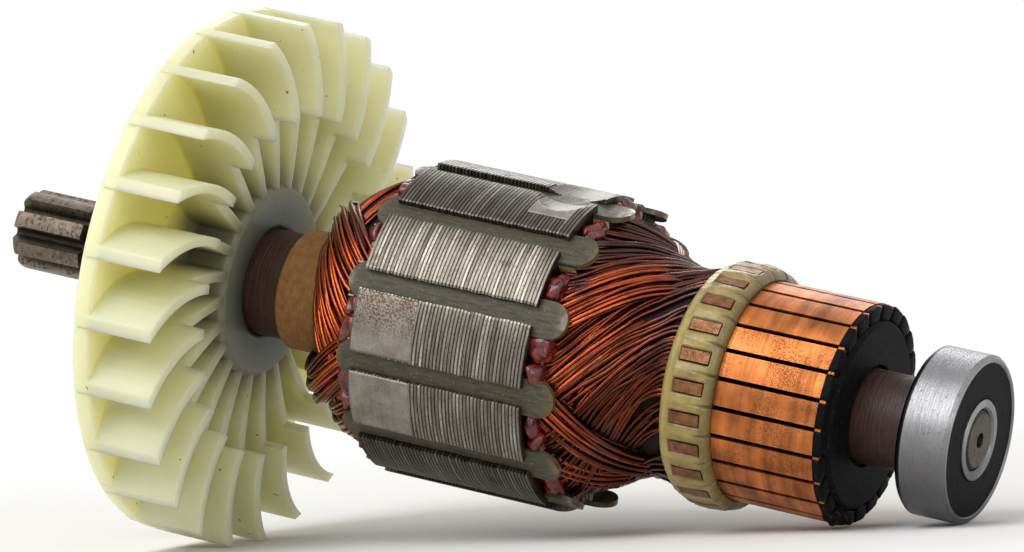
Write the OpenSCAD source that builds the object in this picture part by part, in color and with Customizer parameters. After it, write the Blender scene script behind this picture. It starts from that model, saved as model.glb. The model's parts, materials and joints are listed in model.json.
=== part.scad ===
// Armature of a universal motor: shaft with a cut pinion, radial fan, slotted and wound
// stack, moulded commutator and sealed ball bearing. It lies at rest on two fan blades and
// on the rim of the bearing. Lengths run from the bearing's outer face towards the pinion.

/* [Bearing] */
// Outer radius of the ball bearing
bearing_r = 11; // [10:0.25:12.5]
// Width of the ball bearing
bearing_w = 7; // [6:0.25:8]
// Radius of the shaft's bearing seat
seat_r = 4; // [3.4:0.1:4.4]
// Chamfer on the bearing's outer edges
bearing_chamfer = 0.45; // [0.2:0.05:0.7]
// Radial thickness of the outer ring at its faces
ring_lip = 1; // [0.8:0.05:1.2]
// Radius of the inner ring's end lands, where the seal lips run
land_r = 5.3; // [5:0.05:5.6]
// Diameter of one ball
ball_d = 3.96; // [3.4:0.02:4.1]
// Number of balls
balls = 7; // [5:1:7]
// Thickness of a rubber seal
seal_t = 0.6; // [0.4:0.05:0.9]
// Depth of a seal below the ring's face
seal_recess = 0.15; // [0.05:0.05:0.4]

/* [Shaft] */
// Radius of the steel shaft under the insulating sleeve
core_r = 5; // [4.6:0.1:5.6]
// Length of the shoulder that the bearing seats against
shoulder_len = 0.6; // [0.4:0.1:2]
// Chamfer on the ends of the shaft
shaft_chamfer = 0.5; // [0.2:0.1:1]
// Radius of the centre hole in each end
centre_r = 1; // [0.6:0.1:1.4]
// Depth of the centre hole in each end
centre_depth = 2.4; // [1:0.1:4]
// Radius of the drive-end bearing journal
journal_r = 6; // [5.5:0.1:7]
// Length of the drive-end bearing journal
journal_len = 10; // [8:0.5:12]
// Length of the collar between the fan and the journal
collar_len = 3; // [1.5:0.5:5]
// Length of the relief groove behind the pinion
relief_len = 1.5; // [1:0.5:3]

/* [Pinion] */
// Number of pinion teeth
pinion_teeth = 8; // [6:1:9]
// Outer radius of the pinion
pinion_r = 5.4; // [5:0.1:5.9]
// Depth of the tooth spaces
pinion_depth = 1.75; // [1.2:0.05:2]
// Radius of the round bottom of a tooth space
pinion_root = 0.55; // [0.4:0.05:0.7]
// Widening of a tooth space from its bottom to the outside, on each side
pinion_flare = 0.58; // [0.3:0.02:0.7]
// Length of the toothed end
pinion_len = 10.5; // [8:0.5:14]
// Rounding of the teeth at the free end
pinion_round = 0.9; // [0.4:0.1:1.2]
// Angle of the first pinion tooth about the shaft
pinion_turn = 25.3; // [0:0.1:44.9]

/* [Sleeve and collar] */
// Outer radius of the insulating sleeve beside the bearing
sleeve_small_r = 6.2; // [5.8:0.1:6.6]
// Outer radius of the insulating sleeve under the stack and the fan
sleeve_r = 7.15; // [6.9:0.05:7.6]
// Length of sleeve seen between the bearing's shoulder and the commutator
sleeve_gap = 7.7; // [6:0.1:11]
// Distance of the sleeve's step from the outer ends of the copper bars
sleeve_step = 2; // [1:0.1:6]
// Outer radius of the insulating collar beside the fan
collar_r = 8.05; // [7.8:0.05:8.8]
// Gap between the insulating collar and the fan's hub
collar_gap = 4.8; // [3:0.1:7]

/* [Commutator] */
// Radius of the brush track
bar_r = 14.45; // [13.8:0.05:15.2]
// Width of the slot between two bars
bar_gap = 0.6; // [0.4:0.05:0.9]
// Radial depth of a bar
bar_depth = 3.2; // [2.5:0.1:3.8]
// Length of the brush track
track_len = 14.3; // [11:0.1:18]
// Thickness of the resin riser band over the bars
riser_t = 1.35; // [1.1:0.05:2]
// Length of the resin riser band
riser_len = 7.1; // [5:0.1:9]
// Radius of the moulded end disc
disc_r = 12.3; // [11.4:0.1:13]
// Height of the end disc above the ends of the bars
disc_rise = 1.4; // [0.8:0.1:2]
// Width of a connecting tang
tang_w = 1.5; // [1:0.1:1.9]
// Length of a connecting tang
tang_len = 4; // [2.5:0.1:4.4]
// Distance of the tangs from the riser band's outer edge
tang_set = 1.2; // [0.8:0.1:1.6]
// Width of the notches in the riser band's edge
notch_w = 1.1; // [0.6:0.1:1.6]
// Length of the notches in the riser band's edge
notch_len = 0.6; // [0.3:0.1:1]
// Angle of the first commutator slot about the shaft
bar_turn = 3.6; // [0:0.1:14.9]

/* [Stack] */
// Radius of the laminated stack
stack_r = 20.95; // [20.2:0.05:21.8]
// Length of the laminated stack
stack_len = 25.1; // [20:0.1:40]
// Width of a slot's mouth
mouth_w = 2.58; // [2:0.02:3.2]
// Thickness of the tooth shoes over the wedges
shoe_t = 0.85; // [0.6:0.05:1.2]
// Width of a slot under the tooth shoes
slot_w = 5.2; // [4.4:0.1:5.6]
// Width of a slot near its bottom
slot_bottom_w = 1.8; // [1.2:0.1:2.4]
// Radius of the centre of a slot's round bottom
slot_bottom_r = 12; // [11:0.1:13]
// Thickness of the insulating end piece on each face of the stack
end_piece_t = 2; // [1:0.1:2.4]
// Angle of the first tooth about the shaft
tooth_turn = -3; // [-15:0.1:15]
// Radius of the cutter that milled the balancing cut
balance_r = 9.5; // [6:0.5:14]
// Depth of the balancing cut
balance_depth = 1.05; // [0.3:0.05:1.3]
// Distance of the balancing cut from the stack's face at the commutator
balance_at = 4.6; // [3:0.1:12]
// Angle of the balancing cut about the shaft
balance_turn = 8.4; // [-15:0.1:15]

/* [Wedges and windings] */
// Thickness of a slot wedge
wedge_t = 0.7; // [0.5:0.05:1]
// Length of a wedge beyond the stack at the commutator
wedge_tongue = 4.4; // [2.5:0.1:5.5]
// Length of a wedge beyond the stack at the fan
wedge_tail = 2.2; // [1:0.1:3.5]
// Thickness of the slot liners
liner_t = 0.25; // [0.15:0.05:0.4]
// Axial length of the winding between the stack and the riser
head_len = 17; // [14:0.1:21]
// Radius of the winding at its neck beside the riser
neck_r = 13.1; // [11.5:0.1:13.8]
// Half the thickness of a coil's end turn
coil_r = 1; // [0.7:0.05:1.3]
// Half the width of a coil's end turn
coil_w = 2.5; // [1.8:0.1:2.8]
// Step in height between one coil and the next in the slots
coil_step = 0.48; // [0.3:0.02:0.6]
// Reach of the lowest end turns out of the stack
coil_low = 3; // [2.4:0.1:4.5]
// Room for the leads between the end turns and the riser
lead_len = 3.5; // [2:0.1:5]
// Axial length of the winding beyond the stack on the fan side
tail_len = 12.6; // [10:0.1:16]
// Length of the insulating collar beyond the winding on the fan side
tail_gap = 5.8; // [4:0.1:9]

/* [Fan] */
// Outer radius of the fan
fan_r = 35.5; // [33:0.1:38]
// Step of the plate's rim inside the blade tips
plate_inset = 0.15; // [0.05:0.05:0.4]
// Number of blades
blades = 24; // [16:1:28]
// Thickness of a blade
blade_t = 1.3; // [1:0.1:1.8]
// Height of the blades above the plate at the rim
blade_h = 9.4; // [7:0.1:12]
// Rise of the blades' free edge from the rim to the inner noses
edge_rise = 0.9; // [-1:0.1:1.5]
// Radius of the blades' inner noses
nose_r = 22.85; // [21:0.05:25]
// Height of the low webs that join the blades to the hub
web_h = 7.1; // [4:0.1:8]
// Angle by which a blade turns from its nose to the rim
blade_turn = 10.1; // [6:0.1:14]
// Further turn of a web over as much radius again
web_turn = 5; // [0:0.5:10]
// How far a blade's turn gathers towards the rim, 1 for an even spiral
blade_sweep = 1.75; // [1:0.05:2]
// Thickness of the fan's plate
plate_t = 2.5; // [1.5:0.1:4]
// Rounding of the plate's outer edge
plate_round = 0.8; // [0.3:0.1:1]
// Outer radius of the hub
hub_r = 13; // [11.5:0.1:15]
// Rise of the hub above the plate
hub_h = 7.3; // [5:0.1:9]
// Length of the hub behind the plate
hub_back = 2.5; // [1:0.1:4]
// Rounding of the hub's bore at its mouth
hub_lip = 0.9; // [0.3:0.1:1.2]

/* [Fits] */
// Radial clearance of the balls in their raceways
ball_clear = 0.06; // [0.03:0.01:0.09]
// Radial clearance of the seal lips on the inner ring
lip_clear = 0.05; // [0.02:0.01:0.09]
// Gap between pieces that are stacked or slid together
seat_gap = 0.02; // [0.01:0.01:0.05]
// Side play of a wedge in its slot, on each side
wedge_play = 0.05; // [0.02:0.01:0.2]

/* [Hidden] */
$fn = 96;
eps = 0.01;

// Counts that the numbered nodes are made from
bars = 24;
slots = 12;

// Outer radius of the resin riser band
riser_r = bar_r + riser_t;

// Stations along the shaft, from the bearing's outer face
z_shoulder = bearing_w;
z_sleeve = z_shoulder + shoulder_len;
z_disc = z_sleeve + sleeve_gap;
z_bars = z_disc + disc_rise;
z_step = z_bars + sleeve_step;
z_riser = z_bars + track_len;
z_head = z_riser + riser_len;
z_stack = z_head + head_len;
z_tail = z_stack + stack_len;
z_collar = z_tail + tail_len;
z_collar_end = z_collar + tail_gap;
z_hub = z_collar_end + collar_gap;
z_plate = z_hub + hub_h;
z_plate_back = z_plate + plate_t;
z_hub_back = z_plate_back + hub_back;
z_journal = z_hub_back + collar_len;
z_relief = z_journal + journal_len;
z_pinion = z_relief + relief_len;
z_end = z_pinion + pinion_len;

// Free edge of the blades: its station at the rim and its slope towards the noses
z_tip = z_plate - blade_h;
edge_slope = edge_rise / (fan_r - nose_r);

// A blade meets the rim at a slant, so its end spans an angle about the shaft
tip_slant = atan(blade_turn * blade_sweep / (fan_r - nose_r) * PI / 180 * fan_r);
tip_half = blade_t / 2 / cos(tip_slant) / fan_r * 180 / PI;

// Resting attitude: the line through the lowest blade tips and the bearing's rim is level
tip_low = fan_r * cos(180 / blades - tip_half);
tilt = atan((tip_low - bearing_r) / (z_tip - bearing_chamfer));

// Bearing
ball_r = ball_d / 2;
pitch_r = (bearing_r + seat_r) / 2;
groove_r = ball_r + ball_clear;
ring_face_r = bearing_r - ring_lip;
shoulder_in_r = pitch_r - ball_r * 0.72;
shoulder_out_r = pitch_r + ball_r * 0.8;
seal_step = seal_recess + seal_t + 0.1;

// Slots and what fills them
slot_top_r = stack_r - shoe_t;
wedge_r = slot_top_r - seat_gap;
fill_top_r = wedge_r - wedge_t - seat_gap;
slot_rise = (slot_w - slot_bottom_w) / 2 / (slot_top_r - slot_bottom_r);
bore_r = sleeve_r + seat_gap;

// Places a piece that was drawn along +Z, with the bearing's centre at the origin
module placed() {
    rotate([0, tilt - 90, 0])
        translate([0, 0, -bearing_w / 2])
            children();
}

// Directions of the teeth, slots and bars about the shaft
function tooth_angle(i) = -tooth_turn - i * 360 / slots;
function slot_angle(i) = tooth_angle(i) - 180 / slots;
function bar_angle(i) = -bar_turn - (i + 0.5) * 360 / bars;

// Pinion outline: round-bottomed spaces that open outwards leave the teeth standing
module pinion_outline() {
    root = pinion_r - pinion_depth + pinion_root;
    far = pinion_r + 1;
    half = pinion_root + pinion_flare * (far - root) / (pinion_r - root);
    difference() {
        circle(r = pinion_r + 0.5);
        for (i = [0 : pinion_teeth - 1])
            rotate((i + 0.5) * 360 / pinion_teeth) {
                translate([root, 0])
                    circle(r = pinion_root);
                polygon([[root, -pinion_root], [far, -half], [far, half], [root, pinion_root]]);
            }
    }
}

module pinion() {
    r = pinion_round;
    intersection() {
        rotate_extrude()
            union() {
                square([pinion_r, pinion_len - r]);
                square([pinion_r - r, pinion_len]);
                translate([pinion_r - r, pinion_len - r])
                    circle(r = r);
            }
        translate([0, 0, -1])
            linear_extrude(pinion_len + 2)
                pinion_outline();
    }
}

// Shaft: bearing seat, core, journal, relief and the pinion cut on its end
module shaft() {
    // The relief groove is a little deeper than the tooth spaces
    relief_r = pinion_r - pinion_depth - 0.1;
    edge = 0.3;
    color("#6b5f55")
        placed() {
            difference() {
                rotate_extrude()
                    polygon([
                        [0, 0], [seat_r - shaft_chamfer, 0], [seat_r, shaft_chamfer],
                        [seat_r, z_shoulder], [core_r, z_shoulder], [core_r, z_hub_back],
                        [sleeve_r, z_hub_back], [sleeve_r, z_journal], [journal_r, z_journal],
                        [journal_r, z_relief - edge], [journal_r - edge, z_relief],
                        [relief_r, z_relief], [relief_r, z_pinion + 1], [0, z_pinion + 1]
                    ]);
                translate([0, 0, -1])
                    cylinder(r = centre_r, h = centre_depth + 1);
            }
            translate([0, 0, z_pinion])
                rotate([0, 0, -pinion_turn])
                    difference() {
                        pinion();
                        translate([0, 0, pinion_len - centre_depth])
                            cylinder(r = centre_r, h = centre_depth + 1);
                    }
        }
}

// Insulating sleeve moulded over the shaft
module shaft_sleeve() {
    color("#3a2420")
        placed()
            rotate_extrude()
                polygon([
                    [core_r, z_sleeve], [sleeve_small_r - 0.3, z_sleeve],
                    [sleeve_small_r, z_sleeve + 0.3], [sleeve_small_r, z_step],
                    [sleeve_r, z_step], [sleeve_r, z_hub_back], [core_r, z_hub_back]
                ]);
}

// Pressed-paper collar between the winding and the fan
module insulating_collar() {
    color("#8a5a2c")
        placed()
            rotate_extrude()
                polygon([
                    [bore_r, z_tail + end_piece_t + seat_gap],
                    [collar_r, z_tail + end_piece_t + seat_gap],
                    [collar_r, z_collar_end - 0.4], [collar_r - 0.4, z_collar_end],
                    [bore_r, z_collar_end]
                ]);
}

// Centre line of a blade: how far it lies back from its tip, in degrees, at a radius.
// Inside the nose the low web runs on towards the hub in an even spiral.
function blade_lag(r) =
    let (k = (fan_r - r) / (fan_r - nose_r))
    k > 1
        ? blade_turn + (k - 1) * web_turn
        : blade_turn * (1 - pow(1 - k, blade_sweep));

// Slant of the centre line from the radial direction
function blade_slant(r) =
    atan((blade_lag(r - eps) - blade_lag(r + eps)) / (2 * eps) * PI / 180 * r);

// Outline of a blade between two radii, in n steps, with its thickness across the centre line
module blade_plan(r_in, r_out, n) {
    side = [for (s = [1, -1]) [for (i = [0 : n])
        let (r = r_in + (r_out - r_in) * i / n, a = blade_lag(r), t = a - blade_slant(r))
        [r * cos(a) - s * blade_t / 2 * sin(t), r * sin(a) + s * blade_t / 2 * cos(t)]
    ]];
    polygon(concat(side[0], [for (i = [n : -1 : 0]) side[1][i]]));
}

// One blade: a high outer part under a slanted free edge, and a low web inside its nose
module blade() {
    past = 2;
    z_far = z_tip - abs(edge_rise) - past;
    difference() {
        translate([0, 0, z_far])
            linear_extrude(z_plate_back - plate_round - z_far)
                intersection() {
                    circle(r = fan_r);
                    blade_plan(nose_r, fan_r + 1, 11);
                }
        rotate([90, 0, 0])
            translate([0, 0, -fan_r])
                linear_extrude(2 * fan_r)
                    polygon([
                        [0, z_tip - edge_slope * fan_r],
                        [fan_r + past, z_tip + edge_slope * past],
                        [fan_r + past, z_far - 1], [0, z_far - 1]
                    ]);
    }
    translate([0, 0, z_plate - web_h])
        linear_extrude(web_h + eps)
            blade_plan(hub_r - 0.5, nose_r + 0.2, 6);
}

// Fan: plate, hub and curved blades in one moulding
module fan() {
    tip_turn = 180 / blades;
    plate_r = fan_r - plate_inset;
    edge = 0.6;
    color("#dcd9a8")
        placed() {
            difference() {
                rotate_extrude()
                    difference() {
                        polygon([
                            [bore_r, z_hub], [hub_r - edge, z_hub], [hub_r, z_hub + edge],
                            [hub_r, z_plate - 1], [hub_r + 1, z_plate],
                            [plate_r, z_plate], [plate_r, z_plate_back],
                            [hub_r - 2, z_plate_back], [hub_r - 3, z_hub_back],
                            [bore_r, z_hub_back]
                        ]);
                        // Rounded mouth of the bore
                        translate([bore_r, z_hub])
                            difference() {
                                translate([-eps, -eps])
                                    square(hub_lip + eps);
                                translate([hub_lip, hub_lip])
                                    circle(r = hub_lip);
                            }
                        // Rounded outer edge of the plate
                        translate([plate_r - plate_round, z_plate_back - plate_round])
                            difference() {
                                square(plate_round + eps);
                                circle(r = plate_round);
                            }
                    }
            }
            for (i = [0 : blades - 1])
                rotate([0, 0, tip_turn + i * 360 / blades])
                    blade();
        }
}

// Outline of one slot up to the radius top, smaller at its sides and bottom by c
module slot_outline(c, top) {
    half_b = slot_bottom_w / 2 - c;
    half_t = slot_bottom_w / 2 + slot_rise * (top - slot_bottom_r) - c;
    translate([slot_bottom_r, 0])
        circle(r = half_b);
    intersection() {
        circle(r = top);
        polygon([
            [slot_bottom_r, -half_b], [top, -half_t],
            [top, half_t], [slot_bottom_r, half_b]
        ]);
    }
}

module lamination_outline(r, c) {
    difference() {
        circle(r = r);
        circle(r = bore_r);
        for (i = [0 : slots - 1])
            rotate(slot_angle(i)) {
                slot_outline(-c, slot_top_r);
                translate([slot_top_r - wedge_t, -mouth_w / 2 - c])
                    square([shoe_t + wedge_t + 1, mouth_w + 2 * c]);
            }
    }
}

// Path of the cutter that balanced the armature, across the shoes of two teeth
module balancing_cut() {
    rotate([0, 0, -balance_turn])
        translate([stack_r + balance_r - balance_depth, 0, z_stack + balance_at])
            rotate([90, 0, 0])
                cylinder(r = balance_r, h = stack_r, center = true);
}

// Stack of slotted laminations, with the balancing cut
module lamination_stack() {
    color("#8f8a80")
        placed()
            difference() {
                translate([0, 0, z_stack])
                    linear_extrude(stack_len)
                        lamination_outline(stack_r, 0);
                balancing_cut();
            }
}

// Insulating piece on each face of the stack: as the laminations, its slots a little wider
module end_piece(z) {
    color("#7d1f22")
        placed()
            translate([0, 0, z])
                linear_extrude(end_piece_t)
                    lamination_outline(stack_r - shoe_t, 0.15);
}

module fan_end_piece() {
    end_piece(z_tail + seat_gap);
}

module commutator_end_piece() {
    end_piece(z_stack - end_piece_t - seat_gap);
}

// Slot liners: thin troughs that line each slot
module slot_liners() {
    top = fill_top_r;
    color("#b9a27a")
        placed()
            translate([0, 0, z_stack - end_piece_t])
                linear_extrude(stack_len + 2 * end_piece_t)
                    for (i = [0 : slots - 1])
                        rotate(slot_angle(i))
                            difference() {
                                slot_outline(seat_gap, top);
                                slot_outline(seat_gap + liner_t, top + 1);
                            }
}

// Copper in the slots
module slot_conductors() {
    color("#8c3b1c")
        placed()
            translate([0, 0, z_stack - end_piece_t])
                linear_extrude(stack_len + 2 * end_piece_t)
                    for (i = [0 : slots - 1])
                        rotate(slot_angle(i))
                            slot_outline(2 * seat_gap + liner_t, fill_top_r);
}

// One slot wedge: a curved strip under the tooth shoes with rounded ends
module slot_wedge(i) {
    half = atan((slot_w / 2 - seat_gap - wedge_play) / wedge_r);
    reach = wedge_r * sin(half);
    z0 = z_stack - wedge_tongue;
    z1 = z_tail + wedge_tail;
    deep = 4;
    color("#6e6f5e")
        placed()
            difference() {
                rotate([0, 0, slot_angle(i)])
                    intersection() {
                        translate([0, 0, z0])
                            linear_extrude(z1 - z0)
                                intersection() {
                                    difference() {
                                        circle(r = wedge_r);
                                        circle(r = wedge_r - wedge_t);
                                    }
                                    polygon([
                                        [0, 0], [2 * wedge_r, -2 * wedge_r * tan(half)],
                                        [2 * wedge_r, 2 * wedge_r * tan(half)]
                                    ]);
                                }
                        union() {
                            translate([wedge_r - deep, -reach - 1, z0 + reach])
                                cube([2 * deep, 2 * reach + 2, z1 - z0 - 2 * reach]);
                            for (z = [z0 + reach, z1 - reach])
                                translate([wedge_r - deep, 0, z])
                                    rotate([0, 90, 0])
                                        cylinder(r = reach, h = 2 * deep);
                        }
                    }
                if (i == 0)
                    balancing_cut();
            }
}

// A point of a coil's end turn, t from 0 to 1, from its slot to the fifth slot on.
// It starts along the slot, swings out and inwards to the neck, and comes back the same way.
// The coils lie in six layers, two coils in each; z is the reach out of the stack.
// side moves the point across the coil, in millimetres, towards its outer edge.
function turn_point(k, t, side, neck, top, bend) =
    let (
        layer = (8 - k % 6) % 6,
        reach = coil_low + (top - coil_low) * layer / 5,
        start = fill_top_r - coil_r + coil_step * (layer - 5),
        swing = pow(sin(180 * t), 0.8) * (1 + side / norm([reach, bend * (start - neck)])),
        r = neck + (start - neck) * (1 - pow(swing, bend)),
        a = slot_angle(k + 5 * t - side / start * cos(180 * t) * slots / (2 * PI))
    )
    [r * cos(a), r * sin(a), reach * swing];

// How far a ray from o along d goes until it leaves the last of the round sections at points
function ray_reach(o, d, points) =
    max([for (c = points)
        let (m = c - o, s = m * d, h = coil_r * coil_r - m * m + s * s)
        h > 0 ? s + sqrt(h) : 0
    ]);

// End turns on one side: a soaked core, given as points of [r, z], with the coils standing out
// of it. way is 1 towards the pinion, -1 towards the commutator; z runs out of the stack.
module end_turns(way, r_in, z_in, z_far, core, neck, top, bend) {
    around = 72;
    samples = 28;
    rows = len(core);
    edge = coil_w - coil_r;
    all = [for (k = [0 : slots - 1]) for (i = [0 : samples]) for (side = [-edge, 0, edge])
        turn_point(k, i / samples, side, neck, top, bend)];
    corner = r_in / cos(180 / around);
    skin = [for (i = [0 : around - 1])
        let (
            a = i * 360 / around,
            out = [cos(a), sin(a), 0],
            o = r_in * out + [0, 0, z_in],
            near = [for (c = all) if (c * out > norm([c[0], c[1]]) * cos(18)) c]
        )
        for (p = core)
            let (
                v = (p[0] - r_in) * out + [0, 0, p[1] - z_in],
                d = v / norm(v),
                wide = max(d * out, eps),
                cap = min((fill_top_r - r_in) / wide, (z_far - z_in) / max(d[2], eps))
            )
            o + d * min(max(norm(v), ray_reach(o, d, near)), cap)
    ];
    rim = [for (z = [z_in, core[rows - 1][1]]) for (i = [0 : around - 1])
        let (a = i * 360 / around) [corner * cos(a), corner * sin(a), z]];
    points = [for (p = concat(skin, rim)) [p[0], p[1], way * p[2]]];
    first = around * rows;
    faces = [for (i = [0 : around - 1])
        let (n = (i + 1) % around, a = i * rows, b = n * rows)
        for (f = concat(
            [for (j = [0 : rows - 2]) for (half = [0, 1]) half == 0
                ? [a + j, a + j + 1, b + j + 1]
                : [a + j, b + j + 1, b + j]],
            [
                [first + i, a, b], [first + i, b, first + n],
                [a + rows - 1, first + around + i, first + around + n],
                [a + rows - 1, first + around + n, b + rows - 1],
                [first + around + i, first + i, first + n],
                [first + around + i, first + n, first + around + n]
            ]))
        way > 0 ? f : [f[2], f[1], f[0]]
    ];
    polyhedron(points, faces);
}

// End turns of the winding beside the fan, round the insulating collar
module winding_fan_end() {
    z_in = end_piece_t + 2 * seat_gap;
    r_in = collar_r + seat_gap;
    top = tail_len - 1.5 * coil_r;
    wide = fill_top_r - 2 * coil_r - r_in;
    color("#8c3b1c")
        placed()
            translate([0, 0, z_tail])
                end_turns(1, r_in, z_in, tail_len, [for (u = [0 : 1 / 14 : 1])
                    [r_in + wide * (1 - 0.95 * pow(u, 1.5)), z_in + (top - coil_r - z_in) * u]
                ], r_in + coil_r, top, 1.5);
}

// End turns of the winding beside the commutator, drawn in to a neck at the riser
module winding_commutator_end() {
    z_in = end_piece_t + 2 * seat_gap;
    z_far = head_len - seat_gap;
    low = neck_r - coil_r;
    wide = fill_top_r - 2 * coil_r - low;
    leads = 0.8;
    color("#8c3b1c")
        placed()
            translate([0, 0, z_stack])
                end_turns(-1, bore_r, z_in, z_far, [for (u = [0 : 1 / 16 : 1])
                    let (lift = max(u - leads, 0) / (1 - leads))
                    [
                        u > leads
                            ? neck_r + (bar_r - neck_r) * lift * lift
                            : low + wide * pow(cos(90 * u), 2.2),
                        z_in + (z_far - z_in) * u
                    ]
                ], low, head_len - lead_len, 2);
}

// Moulded core of the commutator with its raised end disc
module commutator_core() {
    inner = bar_r - bar_depth - seat_gap;
    color("#1c1b1c")
        placed()
            rotate_extrude()
                polygon([
                    [sleeve_small_r + seat_gap, z_disc + 0.8],
                    [sleeve_small_r + 0.5, z_disc + 0.8], [sleeve_small_r + 0.5, z_disc],
                    [disc_r - 0.4, z_disc], [disc_r, z_disc + 0.4],
                    [disc_r + 0.3, z_bars - 0.5], [bar_r - 0.5, z_bars - 0.4],
                    [bar_r - 0.2, z_bars - seat_gap], [inner, z_bars - seat_gap],
                    [inner, z_head], [bore_r, z_head], [bore_r, z_step - seat_gap],
                    [sleeve_small_r + seat_gap, z_step - seat_gap]
                ]);
}

// One copper bar: a sector of the track with the tang that takes the wire
module commutator_bar(i) {
    half = 180 / bars;
    color("#c9713d")
        placed()
            rotate([0, 0, bar_angle(i)]) {
                difference() {
                    intersection() {
                        translate([0, 0, z_bars])
                            linear_extrude(track_len + riser_len - 1)
                                difference() {
                                    circle(r = bar_r);
                                    circle(r = bar_r - bar_depth);
                                }
                        translate([0, 0, z_bars - 1])
                            linear_extrude(track_len + riser_len + 2)
                                polygon([
                                    [0, 0], [2 * bar_r * cos(half), -2 * bar_r * sin(half)],
                                    [2 * bar_r * cos(half), 2 * bar_r * sin(half)]
                                ]);
                    }
                    for (s = [-1, 1])
                        rotate([0, 0, s * half])
                            translate([0, -bar_gap / 2, z_bars - 1])
                                cube([2 * bar_r, bar_gap, track_len + riser_len + 2]);
                }
                translate([bar_r - 0.5, -tang_w / 2, z_riser + tang_set])
                    cube([riser_r - bar_r + 0.55, tang_w, tang_len]);
            }
}

// Resin band cast round the tangs, with a notch in its edge at each slot
module riser_resin() {
    r0 = bar_r + seat_gap;
    far = riser_r + 3;
    color("#a89a4e")
        placed()
            difference() {
                rotate_extrude()
                    polygon([
                        [r0, z_riser + seat_gap], [riser_r - 0.5, z_riser + seat_gap],
                        [riser_r, z_riser + 0.6], [riser_r, z_head - 1],
                        [riser_r - 1, z_head], [r0, z_head]
                    ]);
                for (i = [0 : bars - 1])
                    rotate([0, 0, bar_angle(i)]) {
                        translate([r0 - 2, -tang_w / 2 - seat_gap, z_riser + tang_set - seat_gap])
                            cube([far - r0, tang_w + 2 * seat_gap, tang_len + 2 * seat_gap]);
                        rotate([0, 0, 180 / bars])
                            translate([r0 - 2, -notch_w / 2, z_riser - 1])
                                cube([far - r0, notch_w, notch_len + 1]);
                    }
            }
}

// Sealed ball bearing: rings with round raceways, balls, cage and two rubber seals
module bearing_outer_ring() {
    mid = bearing_w / 2;
    c = bearing_chamfer;
    color("#c8c6c4")
        placed()
            rotate_extrude()
                difference() {
                    polygon([
                        [ring_face_r, 0.15], [ring_face_r + 0.15, 0], [bearing_r - c, 0],
                        [bearing_r, c], [bearing_r, bearing_w - c],
                        [bearing_r - c, bearing_w], [ring_face_r + 0.15, bearing_w],
                        [ring_face_r, bearing_w - 0.15], [ring_face_r, bearing_w - seal_step],
                        [shoulder_out_r, bearing_w - seal_step], [shoulder_out_r, seal_step],
                        [ring_face_r, seal_step]
                    ]);
                    translate([pitch_r, mid])
                        circle(r = groove_r);
                }
}

module bearing_inner_ring() {
    mid = bearing_w / 2;
    in_r = seat_r + seat_gap / 2;
    color("#b9b5ae")
        placed()
            rotate_extrude()
                difference() {
                    polygon([
                        [in_r, 0.3], [in_r + 0.3, 0], [land_r - 0.1, 0], [land_r, 0.1],
                        [land_r, seal_step], [shoulder_in_r, seal_step],
                        [shoulder_in_r, bearing_w - seal_step], [land_r, bearing_w - seal_step],
                        [land_r, bearing_w - 0.1], [land_r - 0.1, bearing_w - seat_gap / 2],
                        [in_r, bearing_w - seat_gap / 2]
                    ]);
                    translate([pitch_r, mid])
                        circle(r = groove_r);
                }
}

module bearing_balls() {
    color("#d9d8d6")
        placed()
            for (i = [0 : balls - 1])
                rotate([0, 0, i * 360 / balls])
                    translate([pitch_r, 0, bearing_w / 2])
                        sphere(r = ball_r, $fn = 32);
}

module bearing_cage() {
    half = ball_r + 0.35;
    color("#a8a49c")
        placed()
            difference() {
                translate([0, 0, bearing_w / 2 - half])
                    linear_extrude(2 * half)
                        difference() {
                            circle(r = pitch_r + 0.5);
                            circle(r = pitch_r - 0.5);
                        }
                for (i = [0 : balls - 1])
                    rotate([0, 0, i * 360 / balls])
                        translate([pitch_r, 0, bearing_w / 2])
                            sphere(r = ball_r + seat_gap, $fn = 32);
            }
}

module bearing_seal() {
    rotate_extrude()
        polygon([
            [land_r + lip_clear, seal_recess + 0.1], [land_r + lip_clear + 0.2, seal_recess],
            [ring_face_r - seat_gap, seal_recess],
            [ring_face_r - seat_gap, seal_recess + seal_t],
            [land_r + lip_clear, seal_recess + seal_t]
        ]);
}

module bearing_front_seal() {
    color("#222122")
        placed()
            bearing_seal();
}

module bearing_back_seal() {
    color("#222122")
        placed()
            translate([0, 0, bearing_w])
                mirror([0, 0, 1])
                    bearing_seal();
}

shaft();
shaft_sleeve();
fan();
insulating_collar();
lamination_stack();
fan_end_piece();
commutator_end_piece();
slot_liners();
slot_conductors();
winding_fan_end();
winding_commutator_end();
commutator_core();
riser_resin();
bearing_outer_ring();
bearing_inner_ring();
bearing_balls();
bearing_cage();
bearing_front_seal();
bearing_back_seal();
slot_wedge(0);  // slot_wedge_01
slot_wedge(1);  // slot_wedge_02
slot_wedge(2);  // slot_wedge_03
slot_wedge(3);  // slot_wedge_04
slot_wedge(4);  // slot_wedge_05
slot_wedge(5);  // slot_wedge_06
slot_wedge(6);  // slot_wedge_07
slot_wedge(7);  // slot_wedge_08
slot_wedge(8);  // slot_wedge_09
slot_wedge(9);  // slot_wedge_10
slot_wedge(10);  // slot_wedge_11
slot_wedge(11);  // slot_wedge_12
commutator_bar(0);  // commutator_bar_01
commutator_bar(1);  // commutator_bar_02
commutator_bar(2);  // commutator_bar_03
commutator_bar(3);  // commutator_bar_04
commutator_bar(4);  // commutator_bar_05
commutator_bar(5);  // commutator_bar_06
commutator_bar(6);  // commutator_bar_07
commutator_bar(7);  // commutator_bar_08
commutator_bar(8);  // commutator_bar_09
commutator_bar(9);  // commutator_bar_10
commutator_bar(10);  // commutator_bar_11
commutator_bar(11);  // commutator_bar_12
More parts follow.
